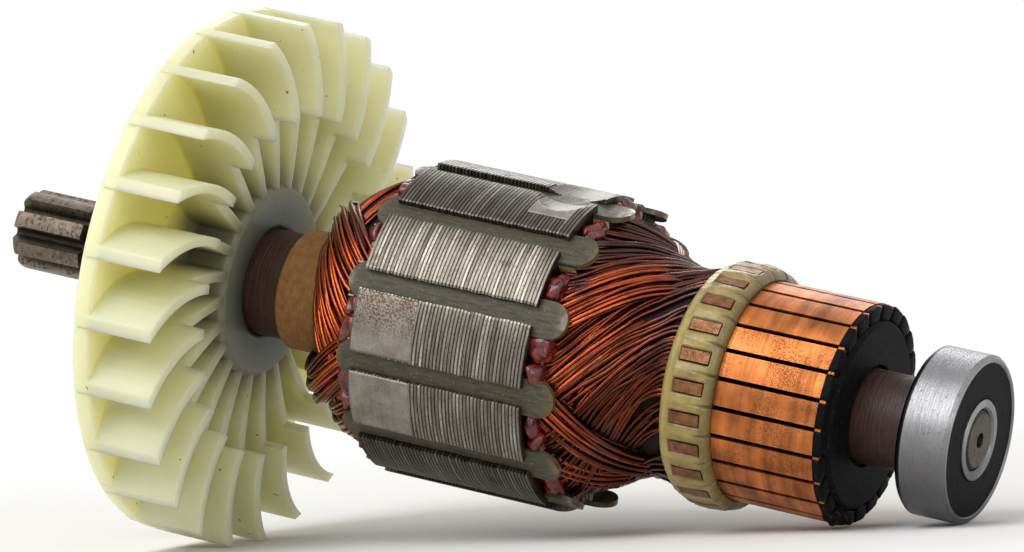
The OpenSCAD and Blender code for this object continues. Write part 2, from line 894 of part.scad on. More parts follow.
commutator_bar(12);  // commutator_bar_13
commutator_bar(13);  // commutator_bar_14
commutator_bar(14);  // commutator_bar_15
commutator_bar(15);  // commutator_bar_16
commutator_bar(16);  // commutator_bar_17
commutator_bar(17);  // commutator_bar_18
commutator_bar(18);  // commutator_bar_19
commutator_bar(19);  // commutator_bar_20
commutator_bar(20);  // commutator_bar_21
commutator_bar(21);  // commutator_bar_22
commutator_bar(22);  // commutator_bar_23
commutator_bar(23);  // commutator_bar_24
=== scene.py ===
"""Looks of a wound motor armature: laminated stack, wire end turns, fan, commutator and bearing."""

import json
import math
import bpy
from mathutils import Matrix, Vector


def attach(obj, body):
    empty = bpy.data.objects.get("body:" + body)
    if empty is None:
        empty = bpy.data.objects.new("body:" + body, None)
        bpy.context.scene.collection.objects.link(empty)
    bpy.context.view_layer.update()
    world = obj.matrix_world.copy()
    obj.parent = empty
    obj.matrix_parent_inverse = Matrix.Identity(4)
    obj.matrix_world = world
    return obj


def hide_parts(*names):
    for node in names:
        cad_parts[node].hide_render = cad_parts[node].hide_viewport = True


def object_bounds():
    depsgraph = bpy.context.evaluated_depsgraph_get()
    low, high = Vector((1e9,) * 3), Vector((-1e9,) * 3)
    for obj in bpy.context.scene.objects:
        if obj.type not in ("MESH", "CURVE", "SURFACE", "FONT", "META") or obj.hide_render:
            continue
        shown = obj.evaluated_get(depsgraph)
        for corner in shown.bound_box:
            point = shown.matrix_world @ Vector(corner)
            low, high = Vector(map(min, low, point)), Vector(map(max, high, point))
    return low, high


bl_info = {
    "name": "Motor armature",
    "version": (1, 0, 0),
    "blender": (4, 5, 0),
    "location": "View3D > Sidebar > Armature",
    "description": "Dresses the packed armature with its laminations, windings, fan and finishes",
    "category": "Object",
}

import bmesh
import bpy
import numpy as np
from bpy.props import FloatProperty, FloatVectorProperty, IntProperty, PointerProperty
from bpy.types import Operator, Panel, PropertyGroup
from mathutils import Matrix, Vector, noise

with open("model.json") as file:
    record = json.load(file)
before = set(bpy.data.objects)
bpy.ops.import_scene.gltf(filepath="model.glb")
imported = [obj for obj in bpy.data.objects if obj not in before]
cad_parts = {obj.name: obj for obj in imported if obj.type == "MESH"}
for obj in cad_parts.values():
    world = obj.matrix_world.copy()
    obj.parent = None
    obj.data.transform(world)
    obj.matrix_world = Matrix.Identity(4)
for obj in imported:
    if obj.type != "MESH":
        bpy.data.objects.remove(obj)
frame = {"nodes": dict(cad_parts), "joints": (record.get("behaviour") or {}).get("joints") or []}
CAD_BOX = [list(corner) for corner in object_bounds()]

BODY = "armature"
MM = 0.001

# The shaft's own frame: X away from the shaft and up, Y level, Z along the shaft to the pinion.
# Stations are millimetres along Z from the outer face of the bearing.
TO_BEARING = Vector(frame["joints"][0]["axis"]).normalized()
SHAFT_Z = -TO_BEARING
SHAFT_Y = Vector((0, 1, 0))
SHAFT_X = SHAFT_Y.cross(SHAFT_Z)
TURN = Matrix((SHAFT_X, SHAFT_Y, SHAFT_Z)).transposed()


def vertices(mesh):
    """The vertices of a mesh as rows of an array."""
    points = np.empty(len(mesh.vertices) * 3)
    mesh.vertices.foreach_get("co", points)
    return points.reshape(-1, 3)


def measure(node):
    """Lowest and highest radius and station of a CAD node about the shaft, in millimetres."""
    local = vertices(frame["nodes"][node].data) @ np.array(TURN) / MM
    radius = np.hypot(local[:, 0], local[:, 1])
    along = local[:, 2]
    return radius.min(), radius.max(), along.min(), along.max()


FACE = -measure("bearing_outer_ring")[2]
PLACE = Matrix.Scale(MM, 4) @ TURN.to_4x4() @ Matrix.Translation((0, 0, -FACE))


def station(node):
    """First and last station of a CAD node."""
    low, high = measure(node)[2:]
    return low + FACE, high + FACE


STACK_R = measure("lamination_stack")[1]
STACK = station("lamination_stack")
CORE_R = measure("lamination_stack")[0]
FAN = station("fan")
BARS = station("commutator_bar_01")
BAR_R = 14.45  # the track; the tangs stand higher
RISER = station("riser_resin")

SLOTS = 12
SLOT_PITCH = math.tau / SLOTS
FIRST_SLOT = math.radians(-12)
BAR_COUNT = 24
FIRST_BAR_SLOT = math.radians(-3.6)
COIL_SPAN = 5
SHEETS = 49
SHEET_PITCH = (STACK[1] - STACK[0]) / SHEETS
# The balancing cut: where its cylinder stands, how deep it goes and its radius
CUT_TURN, CUT_AT, CUT_DEPTH, CUTTER_R = math.radians(-8.4), STACK[0] + 4.6, 1.05, 9.5
# For each side: the face the turns leave, the reach of the lowest layer, the reach that each layer
# adds, the radius at the far end and how squarely the turns come down to it
END_TURNS = {-1: (STACK[0], 3.0, 2.1, 11.8, 2.0), 1: (STACK[1], 7.5, 1.15, 9.9, 2.6)}
TURN_START, TURN_STEP = 16.1, 0.45
# The depths between the wires: radius and distance from the stack at the fan end, bore at the other
FAN_END_CORE = ((8.2, 0), (17.6, 0), (16.9, 3.4), (15.0, 7.0), (11.6, 9.8), (9.2, 11.4), (8.2, 11.6))
CORE_BORE = 7.4
LUMP_R, LUMP_PITCH = 18.2, math.radians(4.5)
KNOB_R = 13.4

random = np.random.default_rng(11)  # one run of draws for all pieces, in the order of the steps


def srgb(text):
    """Linear colour of an sRGB hex code."""
    parts = [int(text[i : i + 2], 16) / 255 for i in (1, 3, 5)]
    linear = [p / 12.92 if p <= 0.04045 else ((p + 0.055) / 1.055) ** 2.4 for p in parts]
    return tuple(linear)


def rgba(color):
    """A colour with its alpha, from an sRGB hex code or linear parts."""
    return (*(srgb(color) if isinstance(color, str) else color), 1.0)


def paint(name, level=1.0):
    """A colour set in the panel, at a share of its brightness."""
    return tuple(level * channel for channel in getattr(bpy.context.scene.armature_colours, name))


def shades_of(name, *levels):
    """Stops of a ramp in one colour of the panel, from their places and levels."""
    return [(at, paint(name, level)) for at, level in levels]


# ---------------------------------------------------------------- node helpers


class Value:
    """A number or colour that nodes work out: sums, differences and products add math nodes."""

    def __init__(self, graph, socket):
        self.graph = graph
        self.socket = socket

    def __add__(self, other):
        return self.graph.math("ADD", self, other)

    def __sub__(self, other):
        return self.graph.math("SUBTRACT", self, other)

    def __rsub__(self, other):
        return self.graph.math("SUBTRACT", other, self)

    def __mul__(self, other):
        return self.graph.math("MULTIPLY", self, other)

    def __truediv__(self, other):
        return self.graph.math("DIVIDE", self, other)

    def cover(self, mask, code):
        """This colour with another laid over it where a mask is."""
        return self.graph.mix(mask, self, rgba(code))

    def tint(self, mask, amount, code):
        return self.cover(mask * amount, code)


class Graph:
    """Adds nodes to one node tree and links them as they come."""

    def __init__(self, tree):
        self.tree = tree
        self.across = 0

    def add(self, kind, inputs=(), **settings):
        node = self.tree.nodes.new(kind)
        node.location = (self.across, 0)
        self.across += 180
        for name, value in settings.items():
            setattr(node, name, value)
        self.fill(node, dict(inputs))
        return node

    def fill(self, node, inputs):
        for key, value in inputs.items():
            value = getattr(value, "socket", value)
            if isinstance(value, bpy.types.NodeSocket):
                self.tree.links.new(value, node.inputs[key])
            else:
                node.inputs[key].default_value = value

    def values(self, sockets):
        """The sockets of a node as values, by name."""
        return {socket.name: Value(self, socket) for socket in sockets}

    def math(self, operation, *values):
        return Value(self, self.add("ShaderNodeMath", enumerate(values), operation=operation).outputs[0])

    def vector_math(self, operation, first, second=(0.0, 0.0, 0.0), output=0):
        return self.add("ShaderNodeVectorMath", {0: first, 1: second}, operation=operation).outputs[output]

    def fit(self, value, low, high, to_low=0.0, to_high=1.0, smooth=False):
        """A value's share of the way from low to high, clamped."""
        inputs = {"Value": value, "From Min": low, "From Max": high, "To Min": to_low, "To Max": to_high}
        kind = "SMOOTHSTEP" if smooth else "LINEAR"
        node = self.add("ShaderNodeMapRange", inputs, clamp=True, interpolation_type=kind)
        return Value(self, node.outputs[0])

    def noise(self, vector, scale, detail=3.0, rough=0.55, distortion=0.0):
        inputs = {"Vector": vector, "Scale": scale, "Detail": detail, "Roughness": rough}
        node = self.add("ShaderNodeTexNoise", {**inputs, "Distortion": distortion})
        return Value(self, node.outputs["Fac"])

    def maximum(self, first, second):
        return self.math("MAXIMUM", first, second)

    def cosine(self, angle):
        return self.math("COSINE", angle)

    def mix(self, share, first, second):
        node = self.add("ShaderNodeMix", {0: share, 6: first, 7: second}, data_type="RGBA")
        return Value(self, node.outputs[2])

    def ramp(self, value, stops):
        node = self.add("ShaderNodeValToRGB", {0: value})
        ramp = node.color_ramp
        while len(ramp.elements) < len(stops):
            ramp.elements.new(1.0)
        for element, (at, color) in zip(ramp.elements, stops):
            element.position = at
            element.color = rgba(color)
        return Value(self, node.outputs["Color"])

    def stretch(self, vector, scale):
        return self.vector_math("MULTIPLY", vector, scale)

    def vector(self, x, y, z):
        return self.add("ShaderNodeCombineXYZ", {0: x, 1: y, 2: z}).outputs[0]

    def bump(self, height, distance, **more):
        inputs = {"Height": height, "Distance": distance, "Strength": 1.0, **more}
        return self.add("ShaderNodeBump", inputs).outputs["Normal"]

    def softened(self, height, distance, radius):
        """A bumped normal over edges that are rounded by a radius."""
        edge = self.add("ShaderNodeBevel", {"Radius": radius}, samples=4).outputs[0]
        return self.bump(height, distance, Normal=edge)

    def group(self, tree, inputs):
        """The outputs of a node group, by name."""
        node = self.add("ShaderNodeGroup", node_tree=tree)
        self.fill(node, inputs)
        return self.values(node.outputs)


def sockets(tree, side, kinds):
    """Adds sockets to one side of a node group, from names and kinds."""
    for label, kind in kinds.items():
        tree.interface.new_socket(label, in_out=side, socket_type="NodeSocket" + kind)


def shader_group(name, inputs, outputs):
    """Turns a builder into a maker of a shader node group, which is built at its first use."""

    def wrap(build):
        def make():
            if name in bpy.data.node_groups:
                return bpy.data.node_groups[name]
            tree = bpy.data.node_groups.new(name, "ShaderNodeTree")
            sockets(tree, "INPUT", inputs)
            sockets(tree, "OUTPUT", outputs)
            graph = Graph(tree)
            given = graph.values(graph.add("NodeGroupInput").outputs)
            graph.add("NodeGroupOutput", build(graph, given))
            return tree

        return make

    return wrap


PLACE_PARTS = {"Along": "Float", "Radius": "Float", "Angle": "Float", "Local": "Vector"}


@shader_group("Shaft place", {"Position": "Vector"}, PLACE_PARTS)
def shaft_place(graph, given):
    """Places a point about the shaft: its station, radius, angle and position, in millimetres."""
    turn = (0, math.pi / 2 - math.atan2(-TO_BEARING.z, TO_BEARING.x), 0)
    inputs = {"Vector": given["Position"], "Location": (0, 0, FACE), "Rotation": turn}
    inputs["Scale"] = (1 / MM, 1 / MM, 1 / MM)
    local = graph.add("ShaderNodeMapping", inputs, vector_type="POINT").outputs[0]
    parts = graph.add("ShaderNodeSeparateXYZ", {0: local}).outputs
    square = graph.math("POWER", parts[0], 2.0) + graph.math("POWER", parts[1], 2.0)
    radius = graph.math("SQRT", square)
    angle = graph.math("ARCTAN2", parts[1], parts[0])
    return {"Along": parts[2], "Radius": radius, "Angle": angle, "Local": local}


LINE_PARTS = dict.fromkeys(("Along", "Angle", "Radius", "Pitch", "Length"), "Float")


@shader_group("Turned lines", LINE_PARTS, {"Lines": "Float"})
def turned_lines(graph, given):
    """Fine lines that run round the shaft, as turning and grinding leave them."""
    around = given["Angle"] * given["Length"]
    point = graph.vector(given["Along"] * given["Pitch"], around, given["Radius"])
    return {"Lines": graph.fit(graph.noise(point, 1.0, 4.0, 0.7), 0.3, 0.7)}


GRIME_PARTS = {"Local": "Vector", "Patch scale": "Float", "Speck scale": "Float", "Amount": "Float"}


@shader_group("Grime", GRIME_PARTS, {"Patches": "Float", "Specks": "Float"})
def grime(graph, given):
    """Soft patches and small specks of dirt."""
    patches = graph.noise(given["Local"], given["Patch scale"], 4.0, 0.6)
    specks = graph.noise(given["Local"], given["Speck scale"], 2.0, 0.5)
    low = 0.66 - given["Amount"] * 0.2
    return {
        "Patches": graph.fit(patches, low, 0.78, smooth=True),
        "Specks": graph.fit(specks, low, low + 0.06, smooth=True),
    }


def cleared(owner):
    """The emptied node tree of a material or a world."""
    owner.use_nodes = True
    owner.node_tree.nodes.clear()
    return owner.node_tree


# ---------------------------------------------------------------- finishes


def spaced(values):
    """The same values under the shader's names, which have spaces for the underscores."""
    return {label.replace("_", " "): value for label, value in values.items()}


class Finish(Graph):
    """The graph of a material, with the shaded point's place about the shaft at hand."""

    def __init__(self, tree):
        super().__init__(tree)
        position = self.add("ShaderNodeTexCoord").outputs["Object"]
        place = self.group(shaft_place(), {"Position": position})
        self.along, self.radius, self.angle, self.local = (place[part] for part in PLACE_PARTS)

    def grain(self, scale, *more):
        """Noise over the piece, its scale per millimetre."""
        return self.noise(self.local, scale, *more)

    def mottle(self, dark, light, scale, contrast=0.2):
        """A colour that drifts between two tones."""
        share = self.fit(self.grain(scale, 5.0, 0.6), 0.5 - contrast, 0.5 + contrast)
        return self.mix(share, rgba(dark), rgba(light))

    def attribute(self, name):
        return Value(self, self.add("ShaderNodeAttribute", attribute_name=name).outputs["Fac"])

    def lines(self, pitch, length):
        inputs = {"Along": self.along, "Angle": self.angle, "Radius": self.radius}
        return self.group(turned_lines(), {**inputs, "Pitch": pitch, "Length": length})["Lines"]

    def grime(self, patch_scale, speck_scale, amount):
        """Masks of the patches and of the specks of dirt."""
        inputs = {"Local": self.local, "Patch scale": patch_scale, "Speck scale": speck_scale}
        dirt = self.group(grime(), {**inputs, "Amount": amount})
        return dirt["Patches"], dirt["Specks"]

    def surface(self, tone, rough, normal, **more):
        return {"Base Color": tone, "Roughness": rough, "Normal": normal, **spaced(more)}


def finish(name, **plain):
    """Turns a builder into a maker of its material, with plain values for the shader's other inputs."""

    def wrap(build):
        def make():
            made = bpy.data.materials.new(name)
            graph = Finish(cleared(made))
            shader = graph.add("ShaderNodeBsdfPrincipled", {**spaced(plain), **build(graph)})
            graph.add("ShaderNodeOutputMaterial", {"Surface": shader.outputs[0]})
            return made

        return make

    return wrap


@finish("Shaft steel", Metallic=0.85)
def shaft_steel(graph):
    """Brown-grey hardened steel, ground bright on the seats, with painted shade in the tooth spaces and on
    the shaft's end, which sits recessed in the bearing.
    """
    lines = graph.lines(9.0, 1.5)
    patches, specks = graph.grime(0.5, 2.4, 0.5)
    tone = graph.mottle("#4a4036", "#75695b", 0.9)
    tone = tone.tint(lines, 0.25, "#a3968a")
    # Painted shade: darker on the shaft's end, recessed in the bore of the bearing.
    front = graph.fit(graph.along, 3.0, 2.0)
    tone = tone.tint(front, 0.8, "#2c2925")
    # Painted shade in the pinion's tooth spaces, darkest towards the roots.
    pinion = graph.fit(graph.along, 129.0, 130.6)
    root = graph.fit(graph.radius, 3.6, 4.9, 1.0, 0.0)
    tone = tone.tint(pinion * root, 0.93, "#1e1510")
    tone = tone.tint(patches, 0.7, "#3a2a1e")
    tone = tone.tint(specks, 0.6, "#24180f")
    rough = graph.fit(lines + patches, 0.0, 2.0, 0.3, 0.62)
    return graph.surface(tone, rough, graph.bump(lines + specks, 0.00003))


@finish("Bearing steel", Metallic=1.0)
def bearing_steel(graph):
    """Ground bearing steel with fine lines round it and a few rust specks, a painted highlight on its upper
    front, painted shade on its lower side and a painted dark reflection along its back edge.
    """
    lines = graph.lines(14.0, 0.6)
    patches, specks = graph.grime(0.35, 2.6, 0.0)
    tone = graph.mottle("#66666a", "#808083", 0.3)
    # Painted highlight: a pale sky reflection laid over the upper front of the steel.
    sky = graph.fit(graph.cosine(graph.angle - math.radians(-80)), -0.1, 1.0)
    tone = tone.tint(sky, 0.35, "#b9b8b8")
    tone = tone.tint(specks, 0.7, "#5f4a3c")
    tone = tone.tint(patches, 0.3, "#74757a")
    # Painted shade: darker on the lower side.
    under = graph.fit(graph.cosine(graph.angle + math.radians(150)), 0.2, 0.95)
    tone = tone.tint(under, 0.65, "#3b3b3f")
    # Painted dark reflection: a near-black band along the back edge.
    tone = tone.cover(graph.fit(graph.along, 6.15, 6.3), "#15161c")
    rough = graph.fit(lines, 0.0, 1.0, 0.16, 0.34) + patches * 0.25
    return graph.surface(tone, rough, graph.bump(lines - specks, 0.00002))


@finish("Cage steel", Metallic=1.0)
def cage_steel(graph):
    """Plain pressed steel."""
    tone = graph.mottle("#8d8a84", "#b6b4ae", 1.2)
    rough = graph.fit(graph.grain(3.0), 0.3, 0.7, 0.3, 0.5)
    return graph.surface(tone, rough, graph.bump(rough, 0.00002))


@finish("Seal rubber", Specular_IOR_Level=0.05)
def seal_rubber(graph):
    """Black seal with greasy patches and fine rings."""
    patches, specks = graph.grime(0.5, 3.0, 0.5)
    tone = graph.mottle("#050506", "#0d0d10", 1.0)
    tone = tone.tint(patches, 0.3, "#2a2624")
    rings = graph.math("SINE", graph.radius * 9.0)
    height = rings * 0.08 + specks
    rough = graph.fit(patches, 0.0, 1.0, 0.5, 0.75)
    return graph.surface(tone, rough, graph.bump(height, 0.00003))


@finish("Sleeve resin")
def sleeve_resin(graph):
    """Dark red-brown bonded sleeve."""
    lines = graph.lines(3.0, 0.8)
    tone = graph.mottle("#1c0c09", "#3d1d15", 0.8)
    tone = tone.tint(lines, 0.15, "#5c3a2e")
    rough = graph.fit(lines, 0.0, 1.0, 0.35, 0.6)
    return graph.surface(tone, rough, graph.bump(lines, 0.00004))


@finish("Collar board")
def collar_board(graph):
    """Rolled tan insulating board, its edge charred brown with varnish."""
    weave = graph.lines(5.0, 2.5)
    tone = graph.mottle("#6f4120", "#9a6936", 1.0)
    tone = tone.tint(weave, 0.35, "#b98f58")
    wick = graph.grain(0.9, 4.0)
    edge = graph.along + wick * 1.6
    stain = graph.fit(edge, 92.6, 94.2, 1.0, 0.0, smooth=True)
    tone = tone.tint(stain, 0.85, "#24120a")
    rough = graph.fit(stain, 0.0, 1.0, 0.72, 0.35)
    return graph.surface(tone, rough, graph.bump(weave, 0.00006))


@finish(
    "Fan nylon",
    Subsurface_Weight=0.85,
    Subsurface_Radius=(0.011, 0.0095, 0.0055),
    Subsurface_Scale=1.0,
    IOR=1.45,
    Specular_IOR_Level=0.35,
)
def fan_nylon(graph):
    """Milky yellow nylon, deeper in the pockets, with painted light on its thin edges, where light shines
    through, and painted grey shade near the hub, where the shaft shows through.
    """
    base = graph.mottle(paint("nylon", 0.8), paint("nylon", 0.93), 0.07, contrast=0.25)
    # Painted light: paler on the thin outer rims and the front, where light shines through the nylon.
    rim = graph.fit(graph.radius, 27.0, 35.4, smooth=True)
    front = graph.fit(graph.along, FAN[0] + 6.5, FAN[0] + 0.5, smooth=True)
    pale = graph.maximum(rim, front * 0.7)
    tone = base.tint(pale, 0.5, "#e8e5c4")
    # Painted shade: grey towards the hub, where the dark shaft and stack show through, blue-grey close to the
    # bore.
    grey = graph.fit(graph.radius, 11.5, 20.5, 1.0, 0.0, smooth=True)
    tone = tone.tint(grey, 0.93, "#5e6256")
    painted_bore_shade = graph.fit(graph.radius, 7.6, 12.0, 1.0, 0.0, smooth=True)
    tone = tone.tint(painted_bore_shade, 0.8, "#363b3a")
    dots = graph.fit(graph.grain(0.9, 1.0), 0.785, 0.8)
    tone = tone.tint(dots, 0.8, "#4a3d1c")
    scratch = graph.stretch(graph.local, (0.5, 0.5, 7.0))
    scratch = graph.fit(graph.noise(scratch, 0.8, 5.0, 0.7), 0.62, 0.72)
    height = graph.grain(0.7, 3.0) - scratch * 0.4
    rough = graph.fit(height + scratch, 0.2, 1.4, 0.36, 0.52)
    return graph.surface(tone, rough, graph.softened(height, 0.00005, 0.0006))


@finish("Lamination steel", Metallic=0.8)
def lamination_steel(graph):
    """Stamped sheet edges: a line for each sheet, the teeth in different tones, rust and oxide, and painted
    shade on the top and the bottom of the stack.
    """
    sheet = (graph.along - STACK[0]) / SHEET_PITCH
    number = graph.math("FLOOR", sheet)
    around = graph.angle * 1.4
    streak = graph.noise(graph.vector(number * 7.3, around, 0.0), 1.0, 2.0, 0.5)
    fine = graph.vector(graph.along * 9.0, around * 3.0, 2.0)
    fine = graph.noise(fine, 1.0, 3.0, 0.6)
    light = streak * 0.5 + fine * 0.45
    across = graph.math("ABSOLUTE", graph.math("FRACT", sheet) - 0.5)
    light = light - across * 0.32
    greys = [(0.0, "#29241f"), (0.4, "#5c564d"), (0.72, "#8b857c"), (1.0, "#cbc6bd")]
    tone = graph.ramp(graph.fit(light, 0.18, 0.62), greys)
    patches, specks = graph.grime(0.45, 3.2, 0.5)
    tone = tone.tint(specks, 0.45, "#4f3320")
    tone = tone.tint(patches, 0.35, "#3f372d")
    # Painted shade: darker on the top and the bottom of the stack.
    upper = graph.fit(graph.angle, math.radians(-45), math.radians(-38))
    under = graph.fit(graph.angle, math.radians(-130), math.radians(-136))
    shaded = upper * 0.5 + under * 0.65
    tone = tone.cover(shaded, "#1e1c19")
    face = graph.fit(graph.radius, STACK_R - 1.0, STACK_R - 0.5)
    tone = graph.mix(face, rgba("#241c15"), tone)
    rough = graph.fit(light + patches, 0.2, 1.2, 0.28, 0.55)
    return graph.surface(tone, rough, graph.bump(fine, 0.00003))


@finish("Ground steel", Metallic=0.85)
def ground_steel(graph):
    """Where teeth were ground smooth: satin silver under dense rust-brown freckles."""
    lines = graph.lines(5.0, 3.0)
    tone = graph.mottle("#65605a", "#928c84", 0.35)
    tone = tone.tint(lines, 0.3, "#b3aea5")
    freckle = graph.grain(4.2, 3.0, 0.6)
    spread = graph.grain(0.25, 2.0)
    freckle = graph.fit(freckle + spread * 0.35, 0.63, 0.72)
    upper = graph.fit(graph.angle, math.radians(-92), math.radians(-86))
    upper = upper * graph.fit(graph.along, STACK[1] - 11, STACK[1] - 9)
    freckle = freckle * graph.fit(upper, 0.0, 1.0, 0.25, 1.0)
    tone = tone.tint(freckle, 0.8, "#5c3a26")
    rough = graph.fit(lines + freckle, 0.0, 1.6, 0.4, 0.6)
    return graph.surface(tone, rough, graph.bump(lines, 0.00002))


@finish("Slot wedge board", Specular_IOR_Level=0.25)
def slot_wedge_board(graph):
    """Grey-green wedge strip, its rounded ends rimmed with amber varnish."""
    fibre = graph.noise(graph.stretch(graph.local, (3.0, 3.0, 0.5)), 1.0, 5.0, 0.7)
    tone = graph.mix(graph.fit(fibre, 0.3, 0.7), rgba("#302d22"), rgba("#545141"))
    specks = graph.grime(0.5, 3.4, 0.0)[1]
    tone = tone.tint(specks, 0.3, "#a8a592")
    tongue = graph.fit(graph.along, STACK[0] - 2.6, STACK[0] - 4.2)
    tail = graph.fit(graph.along, STACK[1] + 1.2, STACK[1] + 2.2)
    outside = graph.maximum(tongue, tail)
    varnish = outside * graph.fit(graph.grain(1.1, 3.0), 0.35, 0.6)
    tone = tone.tint(varnish, 0.75, "#6a4a22")
    rough = graph.fit(varnish + fibre, 0.2, 1.4, 0.55, 0.25)
    return graph.surface(tone, rough, graph.bump(fibre, 0.00005), Coat_Weight=varnish * 0.8)


@finish("Crimson varnish", Coat_Weight=0.35, Coat_Roughness=0.1)
def crimson_varnish(graph):
    """Glossy crimson insulating varnish in lumps, amber where it is thin."""
    thin = graph.grain(0.8, 4.0, 0.6, 0.6)
    reds = shades_of("varnish", (0.0, 0.05), (0.4, 0.3), (0.78, 0.8))
    tone = graph.ramp(graph.fit(thin, 0.3, 0.72), [*reds, (1.0, "#7a5a30")])
    lumps = graph.grain(1.6, 4.0, 0.6)
    rough = graph.fit(lumps, 0.3, 0.7, 0.12, 0.38)
    return graph.surface(tone, rough, graph.bump(lumps, 0.0001))


@finish("Enamelled wire", Coat_Weight=0.12, Coat_Roughness=0.15)
def enamelled_wire(graph):
    """Enamelled copper, bright along its crown, with painted shade at its sides where the wires meet, maroon
    where varnish has soaked in.
    """
    # Each wire's tone: random from wire to wire, with painted shade on the inner rows and the leads beneath.
    shade = graph.attribute("shade")
    coordinates = graph.add("ShaderNodeTexCoord").outputs
    point = coordinates["Object"]
    along = graph.vector_math("PROJECT", point, tuple(TO_BEARING))
    radial = graph.vector_math("NORMALIZE", graph.vector_math("SUBTRACT", point, along))
    crown = graph.vector_math("DOT_PRODUCT", radial, coordinates["Normal"], output="Value")
    crown = graph.fit(crown, 0.35, 1.0)
    drift = graph.grain(0.35, 4.0, 0.6)
    coppers = shades_of("enamel", (0.0, 0.08), (0.35, 0.22), (0.7, 0.52), (1.0, 1.2))
    tone = graph.ramp(graph.fit(shade + drift * 0.8, 0.25, 1.15), coppers)
    soak = graph.grain(0.16, 3.0, 0.5)
    high = graph.fit(graph.angle, math.radians(-75), math.radians(-25), 0.0, 0.12)
    soak = graph.fit(soak + high, 0.46, 0.76, smooth=True)
    tone = tone.tint(soak, 0.75, "#3a1218")
    # Painted shade: near black on the sides of each wire, which face its neighbours.
    tone = tone.cover(graph.fit(crown, 0.0, 1.0, 0.85, 0.0), "#120403")
    rough = graph.fit(soak, 0.0, 1.0, 0.24, 0.16)
    metal = graph.fit(soak, 0.0, 1.0, 0.9, 0.4)
    return graph.surface(tone, rough, graph.bump(graph.grain(2.2, 2.0), 0.00005), Metallic=metal)


@finish("Soaked core", Specular_IOR_Level=0.2)
def shaded_varnish_core(graph):
    """Near-black depths between the wires: painted shade over a dark varnish red."""
    # Painted shade: near black, tinged with varnish red.
    tone = graph.mottle("#0a0302", "#220b06", 0.9)
    wet = graph.grain(1.5, 3.0)
    return graph.surface(tone, graph.fit(wet, 0.3, 0.7, 0.4, 0.8), graph.bump(wet, 0.0003))


@finish("Riser resin", Coat_Weight=0.25, Coat_Roughness=0.25)
def riser_resin(graph):
    """Ochre resin, paler and smoother on its rim, dusty with carbon near the bars, with painted shade in its
    pockets and notches.
    """
    tone = graph.mottle(paint("resin", 0.42), paint("resin", 0.95), 0.45)
    rim = graph.fit(graph.along, RISER[1] - 1.9, RISER[1] - 1.2, smooth=True)
    tone = tone.tint(rim, 0.45, "#b7a463")
    soot = graph.fit(graph.along, RISER[0] + 1.6, RISER[0] + 0.2)
    patches, specks = graph.grime(0.5, 3.0, 0.3)
    tone = tone.tint(soot, 0.6, "#54431f")
    tone = tone.tint(patches, 0.45, "#6e5a2e")
    tone = tone.tint(specks, 0.25, "#3f2e18")
    # Painted shade in the pockets round the risers, along their edges and in the notches.
    hollow = graph.attribute("hollow")
    tone = tone.tint(hollow, 0.75, "#2b1c10")
    lumps = graph.grain(1.2, 4.0, 0.6)
    rough = graph.fit(lumps, 0.3, 0.7, 0.25, 0.5)
    return graph.surface(tone, rough, graph.bump(lumps, 0.00012))


@finish("Bar copper", Metallic=0.85)
def bar_copper(graph):
    """Commutator copper: soft brushed bands, brown film in patches and fine burnt dots."""
    bands = graph.noise(graph.vector(graph.along * 0.8, graph.angle, 0.0), 1.0, 2.0)
    lines = graph.lines(7.0, 0.5)
    film = graph.grain(0.22, 3.0, 0.5) + (bands - 0.5) * 0.7
    tone = graph.ramp(graph.fit(film, 0.3, 0.72), shades_of("copper", (0.0, 0.4), (0.45, 0.75), (1.0, 1.15)))
    tone = tone.tint(graph.fit(lines, 0.5, 1.0), 0.3, "#7d3d1e")
    dots = graph.grain(5.0, 3.0, 0.6)
    where = graph.grain(0.18, 2.0)
    dots = graph.fit(dots + where * 0.5, 0.8, 0.92)
    tone = tone.tint(dots, 0.55, "#5a2c16")
    tang = graph.fit(graph.along, RISER[0], RISER[0] + 0.6) * 0.9
    tone = graph.mix(tang, tone, graph.mottle("#4c3322", "#8d6245", 1.0))
    side = graph.fit(graph.radius, BAR_R - 0.5, BAR_R - 0.12, 1.0, 0.0)
    tone = tone.tint(side, 0.9, "#1d0d07")
    rough = graph.fit(lines + dots, 0.0, 2.0, 0.3, 0.5)
    return graph.surface(tone, rough, graph.bump(lines - dots, 0.00002))


@finish("Black moulding", Specular_IOR_Level=0.05)
def black_moulding(graph):
    """Matt black phenolic with dust and pale scuffs on its edges."""
    patches, specks = graph.grime(0.4, 3.0, 0.05)
    tone = graph.mottle(paint("moulding", 0.25), paint("moulding", 0.6), 0.8)
    tone = tone.tint(patches, 0.3, "#2e2a28")
    tone = tone.tint(specks, 0.35, "#5a5652")
    grain = graph.grain(4.0, 3.0)
    rough = graph.fit(grain, 0.3, 0.7, 0.45, 0.65)
    return graph.surface(tone, rough, graph.softened(grain, 0.00004, 0.0003))


@finish("Liner paper")
def liner_paper(graph):
    """Tan fibrous slot paper."""
    tone = graph.mottle("#9a7a48", "#c9b184", 1.0)
    grain = graph.grain(3.0, 3.0)
    rough = graph.fit(grain, 0.3, 0.7, 0.6, 0.8)
    return graph.surface(tone, rough, graph.bump(grain, 0.00005))


# ---------------------------------------------------------------- shapes


def polar(radius, angle, along):
    """Points about the shaft, in its own frame and in millimetres."""
    radius, angle, along = np.broadcast_arrays(radius, angle, along)
    return np.stack([radius * np.cos(angle), radius * np.sin(angle), along], axis=-1)


def new_object(name, data):
    obj = bpy.data.objects.new(name, data)
    bpy.context.scene.collection.objects.link(obj)
    return obj


def mesh_from(name, points, faces=(), edges=()):
    mesh = bpy.data.meshes.new(name)
    mesh.from_pydata([tuple(p) for p in np.asarray(points, float).tolist()], list(edges), list(faces))
    mesh.update()
    return mesh


